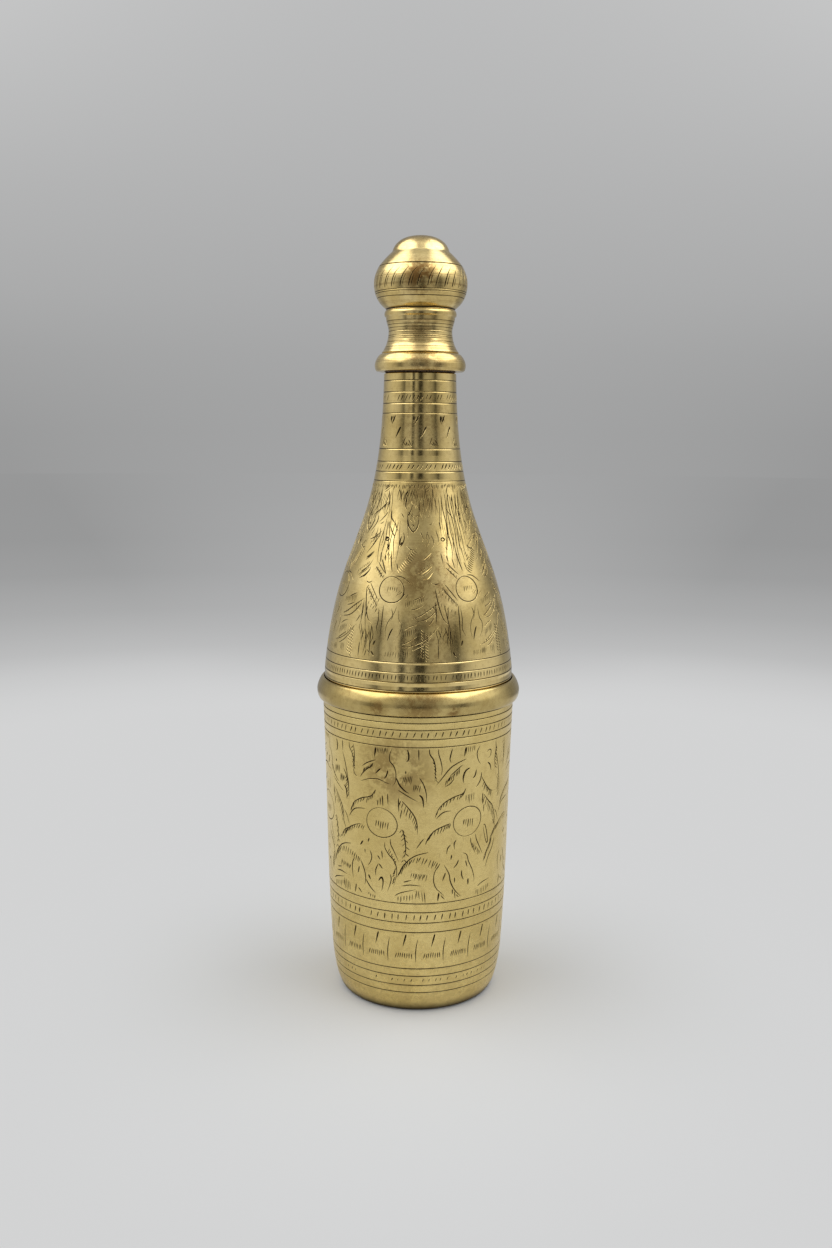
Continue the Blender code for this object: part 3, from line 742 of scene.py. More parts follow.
def leafy_flower(zone):
    """Second design of the lower panel; angles are measured from the middle of its flower."""
    # Heart of the flower and the short strokes over it
    zone.hatch([(-2.6, 76.8), (3.6, 76.6)], 5, 2.8, 0.7, 0.46)
    zone.hatch([(-1.6, 86), (3.8, 86.6)], 5, 3.2, 0.2, 0.36)
    # Petals and bud at the top
    zone.lines([
        [(-1.6, 99.8), (-7.6, 98.5), (-12.6, 96.7), (-17.6, 93), (-21.1, 90.3)],
        [(-4.1, 97.8), (-9.6, 95.3), (-13.1, 93.5)], [(-9.6, 92.8), (-12.6, 90.8), (-16.1, 89.7)],
        [(7.6, 104), (5.4, 101.5), (6.4, 98.5), (8.7, 96.5)],
        [(9.4, 94), (8.9, 91), (6.9, 89), (4.9, 88)]])
    zone.hatch([(-6.4, 96.8), (-14.6, 92.6)], 10, 2.2, 1.0)
    zone.lines([
        [(0.9, 96.2), (-2.6, 95), (-4, 92.5), (-3.6, 90.3)], [(5.4, 95.2), (4.4, 92.8), (2.4, 91.5)],
        [(-2.6, 104.5), (-3.6, 100.5)], [(14.2, 96.8), (16.7, 95.5), (18, 92.8)]], BOLD)
    zone.hatch([(-2.1, 104.6), (3.6, 104.6)], 5, 2.5, 0.4)
    # Loop, stem and leaf at the upper right
    zone.lines([
        [(12.9, 100.5), (15.4, 101.5), (17.2, 101), (16.4, 98.8), (13.4, 98.3)],
        [(9.4, 92), (12.4, 89), (16.4, 86), (20.9, 84.8)],
        [(-19.6, 104.7), (-19.6, 102.5), (-18.1, 99.3), (-17.4, 96.5), (-18.1, 93.8)],
        [(-11.2, 104.5), (-12.3, 102), (-12.8, 100.2), (-11.9, 98.6)],
        [(21.5, 104.6), (22.2, 101), (21.2, 97.5), (21.8, 93)]])
    zone.hatches([
        ([(12, 89.6), (19, 85.6)], 9, 2.4, 1.4), ([(21.8, 102.4), (21.6, 94.5)], 7, 1.4, -1.9)])
    # Leaves on the left
    zone.leaf([(-1.9, 88.5), (-4.1, 86.5), (-9.6, 85.6), (-15.1, 84), (-18.6, 82),
               (-20.1, 80.5)], 14, 1.9, 1.5)
    zone.cut([(-10.6, 80.4), (-15.6, 80.2), (-18.6, 79), (-20.8, 77.5)])
    zone.leaf([(-11.4, 75.6), (-14.6, 75), (-20.6, 73.5), (-24.1, 71.5), (-25.6, 70)], 13, 2.0, 1.6)
    # Leaves on the right
    zone.lines([[(10.9, 85.5), (11.1, 80.5)], [(12.2, 81), (12.1, 77.5)]])
    zone.leaf([(11.4, 85), (16.4, 81.5), (20.4, 79), (22.9, 75), (23.9, 70.5)], 11, 2.7, 1.5, bare=1)
    zone.lines([
        [(12.1, 72.5), (13.9, 72.3), (15.9, 68.5), (16.7, 65), (14.9, 66), (12.9, 70), (12.1, 72.5)],
        [(21, 68), (19, 64.8), (15.6, 61.6), (12.8, 59.2)],
        [(24, 66.4), (21.5, 62.5), (17.5, 59), (14.8, 55)]])
    zone.hatch([(20.6, 66.6), (14.4, 60)], 8, 2.1, 1.3)
    # Stalk and flame under the flower
    zone.lines([
        [(2.4, 69), (2.6, 67), (4.4, 64.5), (6.4, 62)],
        [(5.9, 70), (6.9, 67.5), (9.4, 64.5), (12.4, 61)],
        [(-3.6, 63.6), (-0.3, 62.5), (1.2, 59.7), (4.1, 56.1), (5.7, 52.8), (5.7, 50.5)],
        [(-1.1, 60.5), (0.4, 57.3)], [(-5.7, 61.2), (-7.1, 59.3), (-9.5, 57.8)],
        [(-7.6, 69), (-9.1, 67.5), (-8.6, 65)], [(-11.1, 67.5), (-13.3, 65.8), (-13.8, 63.3)],
        [(-8.3, 54.5), (-8.3, 52)]])
    zone.hatch([(4.2, 66.8), (10, 63)], 7, 1.7, 1.0)
    zone.lines([
        [(-3.6, 57), (-3.4, 54.5), (-1.8, 52.5)], [(-10.4, 63.5), (-11.1, 61.3)],
        [(1.2, 53.3), (1.2, 50.2)]], BOLD)
    # Drop at the lower left, with its tail along the bottom
    zone.lines([
        [(-18.2, 60), (-21.1, 57), (-21.6, 53.5), (-20.1, 50.8), (-17.1, 48.8), (-13.8, 46.5)],
        [(-15.6, 60), (-12.1, 56), (-11.1, 53), (-9.1, 50.2), (-6.1, 47.8), (-3, 46)],
        [(-17.3, 48), (-14.3, 45.8)], [(-9.6, 50), (-9.6, 47.5)], [(-8.1, 49), (-7.6, 45.5)],
        [(-7.1, 47.5), (-5.1, 46)], [(8.4, 48.6), (13, 49.8), (20, 50.4)]])
    zone.lines([[(-14.1, 56.8), (-16.3, 53.2)], [(-18.2, 49.2), (-19, 45.3)]], BOLD)
    zone.hatch([(7.9, 47.8), (18.5, 48.6)], 7, 2.4, 0.2)


def tongue_band(zone):
    """Tall curved strokes with a slash and a fan of ticks between them."""
    count = 20
    for number in range(count):
        zone.origin = 0.4 + 360 / count * number + rng.uniform(-0.6, 0.6)
        low = 20.6 + rng.uniform(-0.4, 0.4)
        zone.cut([(0.6, 31.4), (-0.5, 28.4), (-1.1, 25), (-0.9, low)], 0.48, 1.3)
        zone.cut([(11, 32.7), (9.9, 30), (8.7, 27.2)], BOLD, 0.5)
        for tick in np.linspace(-1, 1, 8):
            start = 9.6 + 4.6 * tick + rng.uniform(-0.2, 0.2)
            high = 25.3 - 0.15 * tick ** 2 + rng.uniform(-0.2, 0.2)
            zone.cut([(start, high), (start - 0.5 + 0.8 * tick, high - 2.7)], THIN)


def worn_band(zone):
    """Faint strokes, many of them worn away."""
    count = 90
    for number in range(count):
        if rng.random() < 0.35:
            continue
        start = 360 / count * number + rng.uniform(-1, 1)
        stroke = [(start + 0.6, 14.4), (start, 13.7), (start - 0.5, 12.9)]
        zone.cut(stroke, FINE * rng.uniform(0.6, 1.2))


def waist_ring(material):
    """Bead ring with its shelf and bore."""
    skin = Skin()
    rebate = SKIRT_RADIUS + GAP
    bore = SKIRT_RADIUS - WALL - 0.1
    shelf = RING_FLOOR + 3.3
    widest = RING_FLOOR + (RING_TOP - RING_FLOOR) * 0.42
    foot = MOUTH_RADIUS + 1.0
    rows = np.concatenate([
        [(rebate, RING_TOP - 0.1), (rebate + 0.1, RING_TOP)],
        quarter_turn((rebate + 0.4, RING_TOP), (RING_RADIUS, widest), True, 0.33, 20),
        quarter_turn((RING_RADIUS, widest), (foot, RING_FLOOR), False, 0.55, 20),
        [(foot, RING_FLOOR), (bore + 0.15, RING_FLOOR), (bore, RING_FLOOR + 0.15), (bore, shelf),
         (rebate, shelf), (rebate, RING_TOP - 0.1)]])
    # The underside of the ring carries a full cut value: painted shade where it sits over the lower half.
    skin.turn([(radius, height, 1 if height < RING_FLOOR + 0.15 else 0) for radius, height in rows])
    piece("bead_ring", skin.mesh("bead_ring"), material, "upper_half", "waist_ring")


def shoulder_shell(material):
    """Upper half: engraved neck and shoulder, skirt and inside."""
    outline = shoulder_outline()
    skin = Skin()
    rim = NECK_TOP - 0.2
    skirt = SKIRT_FLOOR + 0.2
    dress(skin, outline, rim, [
        (232.6, (237.2, 233.04), ROW_GAP),
        (229.3, partial(tick_band, count=58, top=232.4, bottom=229.5, lean=2.4, skip=0.2, width=THIN), 2),
        (224.85, (228.88, 225.26), ROW_GAP),
        (212.6, neck_panel, 2),
        (207.1, (212.2, 207.55), ROW_GAP),
        (204.3, partial(tick_band, count=64, top=207.0, bottom=204.4, lean=2.2, skip=0.12, width=0.54), 1.5),
        (200.0, (203.85, 200.45), ROW_GAP),
        (136.5, shoulder_panel, 1.6),
        (132.1, (136.1, 132.5), 1.6),
        (129.3, partial(tick_band, count=150, top=132.0, bottom=129.4, lean=0.25, skip=0.06, width=0.5),
         1.4)])
    plain(skin, outline, 129.3, skirt, (128.9, 125.8), row_gap=1.6, below=(SKIRT_RADIUS, skirt - 1))
    rows = [(SKIRT_RADIUS, skirt), (SKIRT_RADIUS - 0.2, SKIRT_FLOOR),
            (SKIRT_RADIUS - WALL + 0.2, SKIRT_FLOOR)]
    rows += [(radius - WALL, height) for radius, height in
             outline.at(np.linspace(outline.length[-1] - 0.2, 0.5, 60))]
    rows += [(NECK_RADIUS - WALL, NECK_TOP - 0.1), (NECK_RADIUS - WALL + 0.1, NECK_TOP),
             (NECK_RADIUS - 0.2, NECK_TOP), outline.at_height(rim)]
    skin.turn(rows)
    piece("engraved_shoulder", skin.mesh("engraved_shoulder"), material, "upper_half",
          "shoulder_shell")


def neck_panel(zone):
    """Hanging and standing hatched figures with a slash between them, nine of each."""
    for number in range(9):
        zone.origin = 40 * number + 6 + rng.uniform(-1.2, 1.2)
        zone.hatch([(-14.6, 224.4), (-7.5, 224.5)], 5, 1.9, 0.9, 0.3)
        zone.lines([[(-14.4, 224.4), (-14.2, 221.4)], [(-12.4, 221.9), (-9.6, 222.6), (-7.4, 223.6)]])
        zone.cut([(-5.6, 224.6), (-9.4, 223), (-13.4, 220.9)], EVEN)
        zone.cut([(4.5, 220.6), (0.4, 218.6), (-4.4, 216.1)], BOLD, 0.6)
        zone.lines([
            [(12.6, 216.6), (10.2, 215), (7.4, 213.1)],
            [(16.6, 215.9), (19, 214.4), (21.8, 212.9)]], 0.5)
        zone.lines([
            [(10.6, 214.4), (13.6, 213.2)], [(13.8, 214.9), (15.4, 213)], [(17.4, 214.3), (18, 213)]])


def shoulder_panel(zone):
    """Seven flowers with leaves, drops and long stems up the shoulder."""
    for number, angle in enumerate(UPPER_FLOWERS):
        zone.origin = angle
        shoulder_flower(zone)
        shoulder_leaves(zone)
        (looped_top if number % 2 == 0 else hooked_top)(zone)
    zone.origin = 0
    for start in np.arange(0, 360, 2.1):
        if rng.random() < 0.85:
            high = 199.8 - rng.uniform(0, 0.5)
            end = (start - rng.uniform(0.6, 1.8), high - rng.uniform(1.2, 2.4))
            zone.cut([(start, high), end], 0.34)


def stems(zone, left, right, top, bottom, count):
    """Wavy upright strokes side by side."""
    for place in np.linspace(left, right, count):
        high = top - rng.uniform(0, 2.5)
        low = bottom + rng.uniform(0, 3.5)
        bend = rng.uniform(0.5, 1.3) * rng.choice((-1, 1))
        heights = np.linspace(high, low, 5)
        sway = place + bend * np.sin(np.linspace(0, 2 * pi, 5) + rng.uniform(0, 2))
        zone.cut(list(zip(sway, heights)), TICK * rng.uniform(0.9, 1.4), bends=1.4)


def shoulder_flower(zone):
    """Flower with the leaves and the drop right under it; angles are measured from its middle."""
    zone.ring(0, 161.8, 4.75, THIN, 1.02)
    zone.hatch([(-2.4, 163), (4.2, 163)], 5, 1.7, 0.3, TICK)
    zone.cut([(1.5, 166.7), (7.5, 166.3), (14.5, 163.7)], THIN)
    zone.hatch([(6.6, 161.8), (12.4, 160.8)], 4, 2.0, 3.2, TICK)
    # Hatched leaf at the right
    zone.lines([
        [(14.8, 157.9), (18.6, 158.9), (23, 159.8)],
        [(13.6, 154.8), (18, 155.4), (22.6, 156.5)]], THIN)
    zone.hatch([(11, 158), (22.6, 159.4)], 10, 2.3, 0.2, TICK)
    # Drop with its seed
    zone.lines([
        [(5, 156.3), (3.2, 153.4), (-0.4, 150.2), (-1.6, 147.2), (-0.9, 143.6)],
        [(6.4, 155.2), (6.8, 151.4), (8.6, 149.4), (7.6, 146.4), (3.4, 142.8)],
        [(-7.6, 155.4), (-7.1, 151), (-7.7, 147.8), (-5.6, 145)],
        [(1.2, 155.6), (2.6, 152.6), (0.8, 150.4)]], 0.34)
    zone.cut([(3.3, 148.4), (1.6, 146.4), (-0.2, 143.2)], 0.7)
    zone.cut([(-7.9, 143.9), (-9.4, 141.4)], BOLD)
    # Leaf beside the drop
    zone.lines([
        [(10.4, 147.6), (14, 149), (18.6, 149.6)], [(9.2, 142.4), (13.6, 143.7), (18.4, 145.4)]], THIN)
    zone.hatch([(10.4, 147.2), (17.6, 148.8)], 7, 2.8, 0.3, TICK)
    # Half figures on the bottom line
    zone.hatch([(-0.4, 140), (9.4, 140.2)], 7, 2.2, 0.6, TICK)
    zone.lines([[(-13.6, 140.2), (-15, 137.2)], [(-13.4, 140.2), (-10.6, 138.3)]], 0.36)
    # Herringbone stem
    for height in np.linspace(147.2, 137.8, 10):
        zone.cut([(22.7, height), (20.5, height + 1.1)], THIN)
        zone.cut([(23.3, height - 0.4), (25.6, height - 1.6)], THIN)


def shoulder_leaves(zone):
    """Long leaves and outlines on both sides; angles are measured from the flower's middle."""
    zone.cut([(30.6, 162.6), (32.4, 157), (34.6, 152.5), (36.8, 150.4), (39.6, 149.4)], 0.5, 0.5)
    zone.lines([
        [(29.4, 152.4), (27.6, 150.6), (25.8, 149.3)], [(31.6, 148), (32.6, 146), (33.8, 144.2)],
        [(39.4, 149.2), (39.2, 143.6), (39.4, 137.2)], [(31.4, 142.6), (31.2, 137)],
        [(46.4, 156.4), (46.2, 150), (45.8, 143)], [(30.4, 158), (30.8, 153), (30.2, 149)],
        [(28.2, 164.4), (31.6, 163.8), (35, 164.6)]], THIN)
    zone.cut([(40.2, 139.8), (42.6, 137.8)], BOLD)
    stems(zone, 31, 40, 150, 140, 5)
    stems(zone, 24, 30, 157, 150, 3)
    zone.hatches([
        ([(34, 161.6), (42.6, 158.6)], 5, 1.5, 1.2), ([(35, 157.4), (44, 154.4)], 5, 1.5, 1.2)], TICK)
    # Netted leaf and long feathers at the left
    zone.lines([
        [(-19.4, 162.4), (-14.4, 159.2), (-9, 155.9)],
        [(-17.8, 164), (-12.8, 160.6), (-8.6, 157.7)]], THIN)
    zone.hatch([(-18.6, 163), (-9.2, 157)], 11, 1.7, 1.4, TICK)
    zone.lines([
        [(-19.4, 157.4), (-18, 153.4), (-16.6, 149), (-15.6, 145.4)], [(-16.4, 156), (-17.4, 150.4)],
        [(-19.8, 149.2), (-18.2, 146), (-16.4, 142.9)], [(-12.6, 147), (-14, 144), (-14.4, 139.2)],
        [(-15.8, 146.6), (-15, 142), (-16.4, 138)]], 0.36)
    zone.lines([
        [(-40.5, 151.6), (-34.6, 153), (-27.6, 155.6), (-19.4, 158.4)],
        [(-39.4, 150.6), (-31.6, 151.6), (-25.6, 154), (-21.4, 156.8)],
        [(-46, 141.4), (-38, 142.6), (-30.6, 145), (-23, 149.2)],
        [(-40, 140.4), (-33.4, 142.6), (-27.4, 145.8)]], THIN)
    zone.hatches([
        ([(-37.4, 152.4), (-22.4, 157.6)], 9, 1.0, 0.8), ([(-42, 142.4), (-26, 148)], 8, 1.2, 1.0),
        ([(-36.4, 141), (-33.6, 141.2)], 3, 3.2, 0.2),
        ([(-44.6, 140.6), (-42.4, 140.8)], 3, 2.8, 0.2)], TICK)
    zone.lines([
        [(-15.6, 169.8), (-11, 167.6), (-6.6, 165.2)],
        [(-14.6, 171.6), (-9.6, 169), (-5, 166.9)]], THIN)
    zone.hatch([(-13, 169.6), (-7, 167)], 4, 1.2, 1.0, TICK)
    # Slashes and spikes over the flower, which shine where the room in the front is dark
    dirty = abs(zone.origin) > 30
    zone.lines([
        [(22.4, 172.4), (26, 173.6), (30, 175.2)], [(20.6, 167.3), (25, 168.6), (29.8, 170.3)],
        [(22, 165.6), (26, 166), (30.4, 168.4)],
        [(14.8, 157.9), (18.6, 158.9), (23, 159.8)]], 0.42, dirty)
    zone.lines([
        [(22, 171.5), (26, 172.7), (29.4, 174.2)], [(20.8, 166.4), (25, 167.7), (29.6, 169.4)]], TICK)
    for share in np.linspace(0, 1, 12):
        angle, height = 2.5 + 11 * share, 169 + 7.5 * share
        zone.cut([(angle, height), (angle + 2.6, height - 1.2),
                  (angle + 5.4, height - 1.9)], 0.4, dirty=dirty or share > 0.5)
    zone.hatch([(18, 168.4), (28, 171.4)], 6, 1.3, 1.2, TICK)
    zone.lines([
        [(1.8, 171.4), (3.4, 168.4)], [(8.6, 177.4), (13.2, 176), (17.6, 176.4)],
        [(-1, 168), (-3, 172), (-4, 176)]], THIN)


def looped_top(zone):
    """Upper part of a shoulder unit: slanted leaves, bent stems and a hanging loop."""
    # Leaves on the left, each with an upper and a lower edge and ticks between them
    zone.lines([
        [(-29.5, 198), (-30, 195), (-32.5, 191), (-36.5, 189)],
        [(-36.5, 187.5), (-30.5, 189), (-24.5, 190.5), (-19.5, 192.2), (-13.5, 193.4)],
        [(-14.5, 189.5), (-18.5, 187.5), (-24.5, 185.2)], [(-30.5, 179), (-23.5, 180.3), (-17, 182.7)],
        [(-19, 180.8), (-24, 177.2), (-29.8, 173.8)], [(-27.5, 172.3), (-23.5, 173.5), (-20.5, 175)],
        [(-32.5, 165.8), (-27.5, 167.8), (-22.5, 170), (-19.5, 172.3)],
        [(-30.5, 164.8), (-25.5, 166.2), (-21.5, 168), (-20.5, 169.5)],
        [(-41, 196), (-44, 191), (-47, 187)], [(-38, 193), (-41, 188.6), (-43.6, 185)]], THIN)
    zone.cut([(-27, 188), (-26.5, 186.5), (-28, 184.5), (-33.5, 181.5)], EVEN)
    zone.hatches([
        ([(-27.5, 199.2), (-11, 199.2)], 8, 1.0, 0.8),
        ([(-28.5, 189.4), (-19.5, 192), (-14.5, 193.1)], 8, 1.3, 1.2),
        ([(-27, 178.9), (-19.6, 181.4)], 5, 1.5, 1.2), ([(-30, 166.4), (-22.8, 169.4)], 6, 0.8, 0.6),
        ([(-34.8, 182.6), (-30, 186.4)], 4, 1.4, 2.4),
        ([(-40, 177.4), (-33.6, 179.6)], 4, 1.6, 2.0)], TICK)
    # Bent stems with a pit beside the flower's axis
    zone.lines([
        [(-11, 190.5), (-10, 187.5), (-7.5, 186.3), (-5, 185.3)],
        [(-5.5, 186), (-3, 184), (-0.5, 182.3)],
        [(-9.5, 184.5), (-7, 182.5), (-4.5, 181.2), (-2.5, 180)],
        [(-11.5, 172.6), (-8, 169.4), (-5.4, 166.8)]])
    zone.ring(-11, 180, 0.35, THIN)
    zone.cut([(-9, 178), (-7, 176.5)], BOLD)
    zone.hatches([
        ([(-7.5, 176), (-2.5, 173)], 5, 1.3, 1.2), ([(-14.4, 169.8), (-9.4, 167)], 5, 1.2, 1.0)], TICK)
    # Fork, petal and loop on the right
    zone.lines([
        [(5, 195.2), (4.5, 192), (6, 190)], [(0.5, 189), (4, 187.2)],
        [(7, 187.5), (10, 189.5), (13.5, 193)], [(7.5, 187), (8.5, 184), (9.5, 180)],
        [(4.5, 182.5), (6, 180), (5, 178), (3, 176.5)], [(3.4, 181), (2.4, 178.6), (3, 176.8)]])
    zone.lines([[(3.5, 195.5), (6, 197)], [(4.4, 178.8), (3.4, 177.4)]], BOLD)
    zone.cut([(7.4, 190), (8, 186.8), (9.8, 184.2), (13.6, 182.4), (17.4, 183.8), (19, 187),
              (18.8, 193), (19.2, 197)], EVEN)
    zone.lines([
        [(11.4, 184.4), (13.6, 185), (14.8, 183.6), (13.6, 183)], [(12, 187.4), (14.4, 188.6)]], THIN)
    stems(zone, -5, 17, 199, 190, 15)
    stems(zone, 9, 17, 190, 185, 4)
    stems(zone, -16, 1, 189, 169, 6)
    upper_stems(zone)


def hooked_top(zone):
    """Upper part of a shoulder unit: long leaning leaves and a hook."""
    zone.lines([
        [(-4, 195.5), (-2, 197.8), (0.5, 198.8)], [(-1.5, 196.5), (-2.5, 193.5), (-2, 190.5)],
        [(3.5, 196), (2.5, 192.5), (1, 189.8)],
        [(19, 199), (15, 197), (13, 194.5), (11.5, 192), (9, 190)], [(14, 190), (10, 187), (6, 184)],
        [(-7.5, 191), (-3, 188.5), (2, 186.3)], [(13.5, 179), (18, 179.8), (24, 181.2)],
        [(-3, 182), (-5, 178), (-6.5, 175)], [(2.5, 182), (1.5, 178.5), (0, 175.5)],
        [(4.5, 181), (2.6, 178)], [(11, 178), (9.5, 174.5)], [(3.5, 171.5), (7, 172.5), (10, 173.5)],
        [(-8.6, 184), (-10.5, 179.6), (-11.4, 176)], [(8, 199), (6.6, 196)],
        [(-9, 173), (-7.6, 169)]], 0.36)
    zone.lines([
        [(14.5, 186.5), (16.5, 185), (15.5, 183), (13, 181.8), (10, 181.5)], [(17, 176.5), (20, 177)],
        [(16, 171.5), (19, 172.5)]])
    zone.hatches([
        ([(-1, 195.6), (2.6, 194.8)], 3, 1.4, 1.2), ([(12.2, 193.4), (8.4, 188.4)], 5, 1.2, 1.8),
        ([(14, 178.6), (21, 180)], 5, 1.2, 1.4), ([(2.6, 176.4), (9, 173.4)], 5, 1.2, 1.2)], TICK)
    stems(zone, -15, 14, 198, 176, 12)
    stems(zone, -12, 6, 187, 168, 6)
    stems(zone, 20, 30, 198, 180, 5)
    upper_stems(zone)


def upper_stems(zone):
    """Stems, ticks and a pit between two tops."""
    zone.lines([
        [(24.2, 197), (29.4, 198), (34, 199)], [(24.8, 196.2), (30, 197.2), (34.4, 198.2)],
        [(28.4, 184.9), (31.4, 185.2), (33.4, 186)],
        [(25, 180.6), (27.4, 181.4), (28.4, 179.4), (26.4, 177.4), (23.6, 178)]], 0.34)
    stems(zone, 20.5, 38.5, 199, 186, 9)
    stems(zone, 22, 36, 184, 176, 4)
    zone.ring(40.8, 179.6, 0.62, 0.5)
    zone.lines([
        [(42.4, 177.2), (43.4, 176), (44, 176.4)], [(42, 174), (43, 171.6)], [(39, 186), (40.4, 183)],
        [(37.4, 175), (38.6, 171)]], 0.5)


def stopper_knob(material):
    """Knob with its engraved band, turned lines and socket."""
    outline = knob_outline()
    skin = Skin()
    length = outline.length
    tip_foot, band_top, band_foot, groove_top, scored_top, scored_foot = (
        279.1, 278.3, 269.9, 263.9, 259.8, 247.8)
    tip = outline.at(np.linspace(0, float(outline.down_to(tip_foot)), 40))
    skin.turn(tip, below=outline.at_height(tip_foot - 0.2))
    plain(skin, outline, tip_foot, band_top, (278.7,), row_gap=0.5)
    band = Zone(outline, band_top, band_foot)
    knob_band(band)
    band.engrave(skin, 0.6)
    plain(skin, outline, band_foot, groove_top, (269.4, 268.75, 267.2), 0.3, row_gap=0.5)

    start, waist, flare = (float(outline.down_to(height)) for height in (groove_top, scored_top, scored_foot))
    groove = outline.points[(length > start + 0.01) & (length < waist - 0.01)]
    # The inner rows of the groove under the bulb are darkened: painted shade.
    dirty = (groove[:, 0] < groove[0, 0] - 0.3) & (groove[:, 1] > 262.6)
    groove = np.column_stack([groove, GROOVE_SHADE * dirty])
    skin.turn([outline.at(start), *groove, outline.at(waist)],
              above=outline.at(start - 0.5), below=outline.at(waist + 0.5))
    scores = [height + rng.uniform(-0.2, 0.2)
              for height in (258.9, 257.8, 256.4, 255.2, 253.9, 252.9, 251.3, 249.6)]
    plain(skin, outline, scored_top, scored_foot, scores, 0.2, row_gap=0.5)

    socket, recess = SHANK_RADIUS + GAP, SEAL_RADIUS + GAP
    roof, end = SEAL_TOP + GAP, PLUG_TOP + GAP
    skin.turn([outline.at(flare), *outline.points[length > flare + 0.01], (recess, KNOB_FLOOR),
               (recess, roof), (socket, roof), (socket, end), (0, end)], above=outline.at(flare - 0.5))
    piece("turned_knob", skin.mesh("turned_knob"), material, "stopper", "stopper_knob")


def knob_band(zone):
    """Curved strokes round the bulb."""
    for number in range(32):
        zone.origin = 360 * number / 32 - 38 + rng.uniform(-1, 1)
        high = 277.7 + rng.uniform(-0.4, 0.2)
        zone.cut([(0, 269.9), (1.6, 272.2), (5.4, 275), (12.4, high)], 0.54 * rng.uniform(0.8, 1.1), 0.6)
        zone.cut([(3.4, 270.4), (5.2, 272.8), (8.6, 275)], FINE * rng.uniform(0.7, 1.0), 0.6)


def threaded(name, rows, thread, columns, material, body, node):
    """A turned piece with a helical thread between two heights.

    thread is (top, bottom, depth): between them the radius falls by up to depth, in a spiral.
    """
    top, bottom, depth = thread
    low, high = min(top, bottom), max(top, bottom)
    fine = []
    for (radius, height), (next_radius, next_height) in zip(rows, rows[1:]):
        fine.append((radius, height))
        if radius == next_radius and {height, next_height} == {top, bottom}:
            thread_radius = radius
            count = ceil((high - low) / 0.12)
            fine += [(radius, height + (next_height - height) * step / count) for step in range(1, count)]
    fine.append(rows[-1])
    skin = Skin()
    skin.turn(fine, columns)
    mesh = skin.mesh(name)
    for vertex in mesh.vertices:
        x, y, z = vertex.co / MM
        radius = hypot(x, y)
        if low < z < high and abs(radius - thread_radius) < 0.01:
            phase = (z / PITCH - atan2(x, -y) / (2 * pi)) % 1
            cut = min(1, max(0, 1.25 - abs(phase - 0.5) * 5))
            fade = min(1, (z - low) / (PITCH * 0.6), (high - z) / (PITCH * 0.6))
            change = 1 - depth * cut * fade / radius
            vertex.co = Vector((x * change, y * change, z)) * MM
    mesh.attributes.remove(mesh.attributes["custom_normal"])
    mesh.shade_smooth()
    mesh.set_sharp_from_angle(angle=SHARP_THREAD)
    piece(name, mesh, material, body, node)


def lower_collar(material):
    """Collar with the thread that the upper half turns onto."""
    sleeve = MOUTH_RADIUS - WALL - GAP
    spigot = sleeve - 0.8
    foot = SEAM - 12
    foot_radius = lower_outline().at_height(foot)[0] - WALL - GAP
    rows = [(spigot - 0.5, SPIGOT_TOP), (spigot, SPIGOT_TOP - 0.5), (spigot, SEAM + 0.6),
            (spigot, SEAM), (sleeve, SEAM - 0.8), (foot_radius, foot + 0.5), (foot_radius - 0.5, foot),
            (COLLAR_BORE, foot), (COLLAR_BORE, SPIGOT_TOP - 0.5), (COLLAR_BORE + 0.5, SPIGOT_TOP),
            (spigot - 0.5, SPIGOT_TOP)]
    threaded("threaded_collar", rows, (SPIGOT_TOP - 0.5, SEAM + 0.6, 0.7), COLLAR_COLUMNS, material,
             "lower_half", "lower_collar")


def neck_bush(material):
    """Bush with the inner thread that takes the plug."""
    bore = PLUG_RADIUS + GAP
    top, bottom = NECK_TOP - 0.4, BUSH_FLOOR + 0.4
    rows = [(bore, top), (bore + 0.4, NECK_TOP), (BUSH_RADIUS, NECK_TOP), (BUSH_RADIUS, BUSH_FLOOR),
            (bore + 0.4, BUSH_FLOOR), (bore, bottom), (bore, top)]
    threaded("threaded_bush", rows, (top, bottom, -0.6), SMALL_COLUMNS, material, "upper_half", "neck_bush")


def stopper_plug(material):
    """Plug with its thread and the plain shank inside the knob."""
    bevel = 0.8
    top, bottom = SEAL_TOP - bevel, PLUG_FLOOR + bevel
    rows = [(0, PLUG_TOP), (SHANK_RADIUS - bevel, PLUG_TOP), (SHANK_RADIUS, PLUG_TOP - bevel),
            (SHANK_RADIUS, SEAL_TOP), (PLUG_RADIUS, SEAL_TOP), (PLUG_RADIUS, top),
            (PLUG_RADIUS, bottom), (PLUG_RADIUS - bevel, PLUG_FLOOR), (0, PLUG_FLOOR)]
    threaded("threaded_plug", rows, (top, bottom, 0.6), SMALL_COLUMNS, material, "stopper", "stopper_plug")


def stopper_seal(material):
    """Seal ring, rounded at its outer edges."""
    inner = PLUG_RADIUS + GAP
    edge = SEAL_RADIUS - 0.08
    skin = Skin()
    skin.turn([(inner, SEAL_TOP), (SEAL_RADIUS - 0.3, SEAL_TOP), (edge, SEAL_TOP - 0.1),
               (SEAL_RADIUS, SEAL_TOP - 0.3), (SEAL_RADIUS, SEAL_FLOOR + 0.3), (edge, SEAL_FLOOR + 0.1),
               (SEAL_RADIUS - 0.3, SEAL_FLOOR), (inner, SEAL_FLOOR), (inner, SEAL_TOP)], SMALL_COLUMNS)
    piece("seal_ring", skin.mesh("seal_ring"), material, "seal", "stopper_seal")


